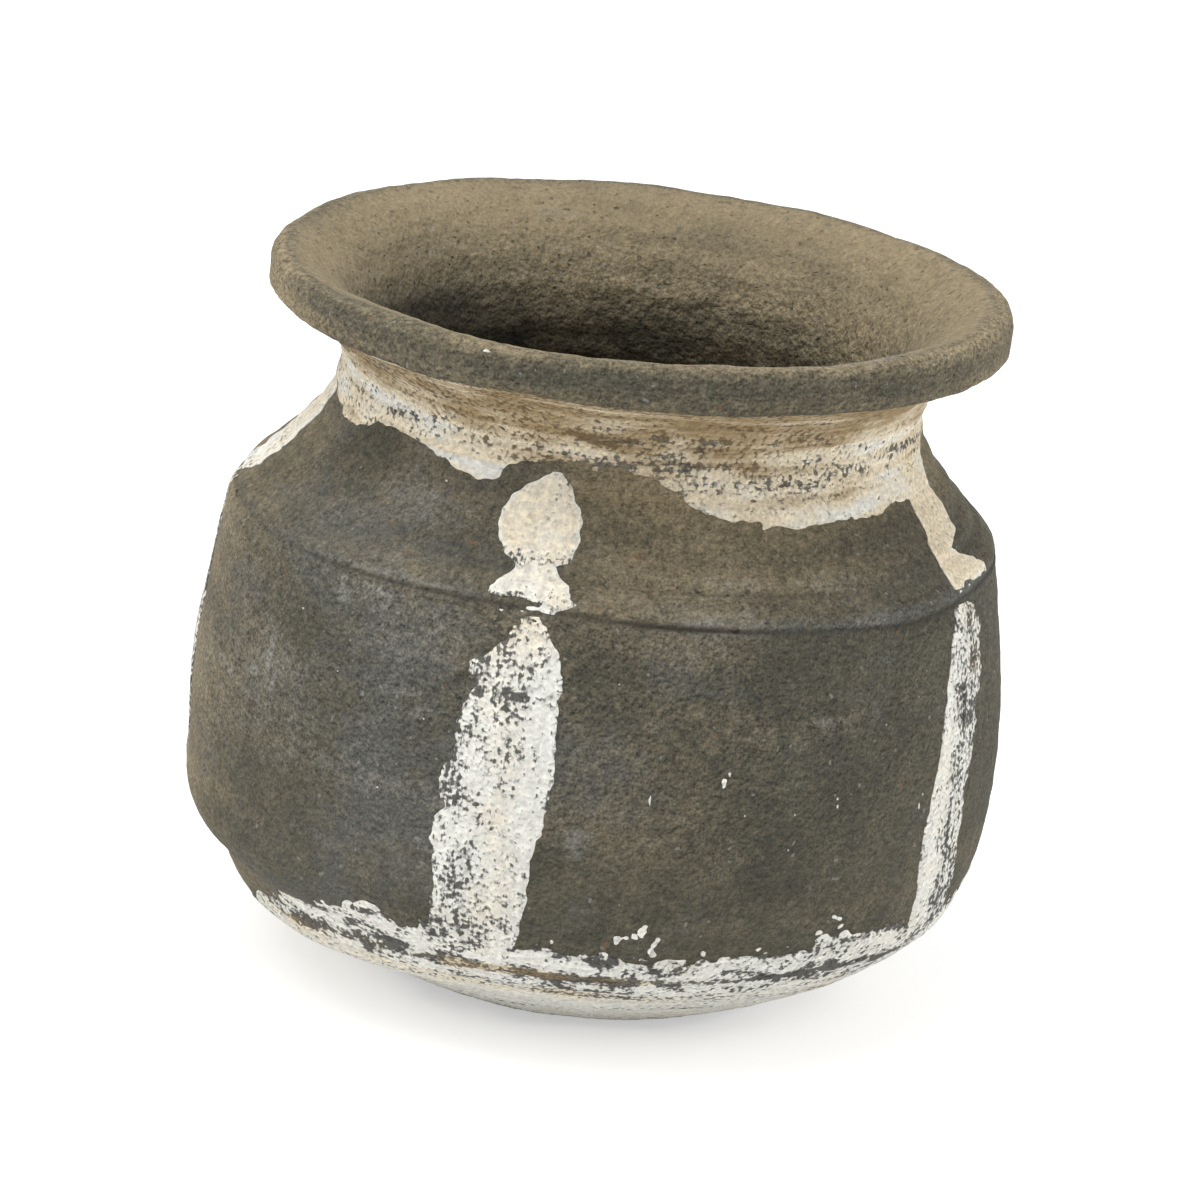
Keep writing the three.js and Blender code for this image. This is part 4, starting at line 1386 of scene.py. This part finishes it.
def corner_coat(work, look):
    """Worn coat of the lower corner: a ragged upper edge, spray and splashes above it, and the
    line where it is rubbed through."""
    coat = Coat(work, look, low=26, high=60, cell=CORNER_CELL, seed=61)
    side, z = coat.degrees, coat.height
    under = coat.edge_height(BASE_EDGE) - z
    ragged = 0.8 * coat.noise(9.0, 2.5) + 1.0 * coat.noise(3.0, 1.6) + 0.9 * coat.noise(1.1, 0.9)
    depth = np.minimum(under + ragged, z - CORNER_LOW + 0.4 * ragged)
    spray = 0.8 * (coat.noise(0.9, 0.8) - 1.9 - 0.22 * np.maximum(-under, 0))
    depth = np.maximum(depth, spray)
    depth = np.maximum(depth, coat.splashes(BASE_SPLASHES) + 0.25 * coat.noise(0.7, 0.6))
    angle, *rub = np.array(RUBBED_LINE).T
    height, thick, force, brown = (np.interp(side, angle, k) for k in rub)
    rubbed = force * hump(z, height + 0.5 * coat.noise(9, 9), thick)
    wear = 0.31 + 0.55 * rubbed * (1 + 0.15 * coat.noise(7, 1.4)) + 0.20 * ease(-under, -2.5, 0)
    wear += 0.08 * coat.noise(16, 1.3) + 0.08 * coat.noise(4, 1.8) + 0.16 * coat.noise(1.8, 0.9)
    wear += 0.08 * hump(side, -36, 14) + 0.10 * hump(side, 48, 12) - 0.07 * (1 - ease(z, 29, 34))
    wear = np.where(under < -1.5, 0.12, wear)
    stain = 0.05 + brown * ease(rubbed, 0.45, 0.85) + 0.04 * coat.noise(12, 6)
    return coat.piece("base_corner_coat", depth, wear, stain, brush=(9.0, 0.7))


class POT_OT_base_coat(bpy.types.Operator):
    """Brush the underside, and the worn corner above it"""

    bl_idname = "pot.base_coat"
    bl_label = "Base Coat"

    def execute(self, context):
        work = make_work(context)
        for brush_on in (under_coat, corner_coat):
            add_coat(context, brush_on(work, context.scene.pot_limewash), "limewash_base_coat")
        return {"FINISHED"}


class POT_OT_splashes(bpy.types.Operator):
    """Splash a few drops of limewash over the wall and the lip"""

    bl_idname = "pot.splashes"
    bl_label = "Splashes"

    def execute(self, context):
        """Each drop is a grid of rings and spokes. Its edge is a circle with a wave of three and a
        wave of five, and its film is a parabola that ends just under the clay."""
        work, look = make_work(context), context.scene.pot_limewash
        line = work.outline
        rng = np.random.default_rng(look.seed + 300)
        angle, height, wide, tall = (k[:, None, None] for k in np.array(WALL_SPLASHES).T)
        count, rings, spokes = len(angle), 5, 18
        out = np.linspace(0.0, 1.0, rings)[None, :, None]
        turn = np.linspace(0.0, TURN, spokes, endpoint=False)[None, None, :]
        bumps, phase = rng.uniform(0.05, 0.22, (2, count, 1, 1)), rng.uniform(0, TURN, (2, count, 1, 1))
        away = out * (1 + bumps[0] * np.cos(3 * turn + phase[0]) + bumps[1] * np.cos(5 * turn + phase[1]))
        start = line.outside(height * MM)
        way = start + 0.5 * tall * MM * away * np.cos(turn)
        az = np.radians(angle) + 0.5 * wide * MM * away * np.sin(turn) / line.at(start)[0]
        lift = work.relief(az, way) + look.coat * (0.9 * (1 - out**2) - 0.25)
        r, z, nr, nz = line.at(way)
        points = on_pot(r + lift * nr, az, z + lift * nz).reshape(-1, 3)
        index = np.arange(len(points)).reshape(way.shape)
        beside = np.roll(index, -1, 2)
        skin = np.stack([index[:, :-1], index[:, 1:], beside[:, 1:], beside[:, :-1]], -1).reshape(-1, 4)
        under = index[:, -1, :]
        marks = {"stain": np.full(len(points), 0.08), "thin": np.full(len(points), 0.15)}
        uv = np.stack([az.ravel() * Coat.UV_ANGLE, way.ravel()], -1)
        add_coat(context, make_piece("splashes_coat", points, [skin, under], marks, uv))
        return {"FINISHED"}


def lay_floor(studio):
    """Square floor about the foot of the pot."""
    corners = np.array([(-1, -1, 0), (1, -1, 0), (1, 1, 0), (-1, 1, 0)], float)
    floor = make_piece("pale_floor", FLOOR_REACH * corners, [np.array([[0, 1, 2, 3]])], {})
    floor.data.materials.append(floor_material(studio.floor_colour))


def hang_lamps(scene, studio, aim):
    """Round soft lamps that face the pot, and an even sky."""
    world = bpy.data.worlds.new("studio")
    world.use_nodes = True
    sky = world.node_tree.nodes["Background"]
    sky.inputs["Color"].default_value = (1, 1, 1, 1)
    sky.inputs["Strength"].default_value = studio.sky
    scene.world = world
    for name, place, size, share in LAMPS:
        lamp = bpy.data.lights.new(name, "AREA")
        lamp.shape, lamp.size, lamp.energy = "DISK", size, studio.key_power * share
        stand = bpy.data.objects.new(name, lamp)
        stand.location = place
        stand.rotation_euler = (aim - Vector(place)).to_track_quat("-Z", "Y").to_euler()
        scene.collection.objects.link(stand)


def place_camera(scene, studio, aim):
    """Camera in front of the pot, raised by the elevation and turned by the roll."""
    camera = bpy.data.cameras.new("camera")
    camera.sensor_width, camera.lens = 36.0, studio.lens
    camera.clip_start, camera.clip_end = 0.05, 50.0
    stand = bpy.data.objects.new("camera", camera)
    back = Vector((0.0, -math.cos(studio.elevation), math.sin(studio.elevation)))
    facing = (-back).to_track_quat("-Z", "Y").to_matrix().to_4x4()
    place = aim + back * studio.distance + Vector((studio.aim_side, 0.0, 0.0))
    stand.matrix_world = Matrix.Translation(place) @ facing @ Matrix.Rotation(studio.roll, 4, "Z")
    scene.collection.objects.link(stand)
    scene.camera = stand


class POT_OT_stage(bpy.types.Operator):
    """Lay the floor, hang the lamps and place the camera"""

    bl_idname = "pot.stage"
    bl_label = "Stage"

    def execute(self, context):
        scene, studio = context.scene, context.scene.pot_studio
        aim = Vector((0.0, 0.0, studio.aim_height))
        lay_floor(studio)
        hang_lamps(scene, studio, aim)
        place_camera(scene, studio, aim)
        scene.view_settings.view_transform = "Standard"
        return {"FINISHED"}


OPERATORS = (
    POT_OT_base_dish, POT_OT_body_wall, POT_OT_shoulder, POT_OT_neck_collar, POT_OT_rim,
    POT_OT_neck_band, POT_OT_daubs, POT_OT_stripes, POT_OT_base_coat, POT_OT_splashes, POT_OT_stage,
)


class POT_PT_panel(bpy.types.Panel):
    """Buttons and settings of the pot"""

    bl_idname = "POT_PT_panel"
    bl_label = "Clay Water Pot"
    bl_space_type = "VIEW_3D"
    bl_region_type = "UI"
    bl_category = "Pot"

    def draw(self, context):
        for operator in OPERATORS:
            self.layout.operator(operator.bl_idname)
        for group in SETTINGS:
            box = self.layout.box()
            settings = getattr(context.scene, group)
            for name in settings.bl_rna.properties.keys():
                if name not in ("name", "rna_type"):
                    box.prop(settings, name)


SETTINGS = {
    "pot_shape": POT_PG_shape, "pot_clay": POT_PG_clay,
    "pot_limewash": POT_PG_limewash, "pot_studio": POT_PG_studio,
}
CLASSES = (*SETTINGS.values(), *OPERATORS, POT_PT_panel)


def register():
    for kind in CLASSES:
        bpy.utils.register_class(kind)
    for name, kind in SETTINGS.items():
        setattr(bpy.types.Scene, name, bpy.props.PointerProperty(type=kind))


def unregister():
    for name in SETTINGS:
        delattr(bpy.types.Scene, name)
    for kind in reversed(CLASSES):
        bpy.utils.unregister_class(kind)


def main():
    """Builds the pot and its stage."""
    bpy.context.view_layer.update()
    register()
    for operator in OPERATORS:
        group, name = operator.bl_idname.split(".")
        getattr(getattr(bpy.ops, group), name)()
    bpy.context.view_layer.update()


if __name__ == "__main__":
    main()
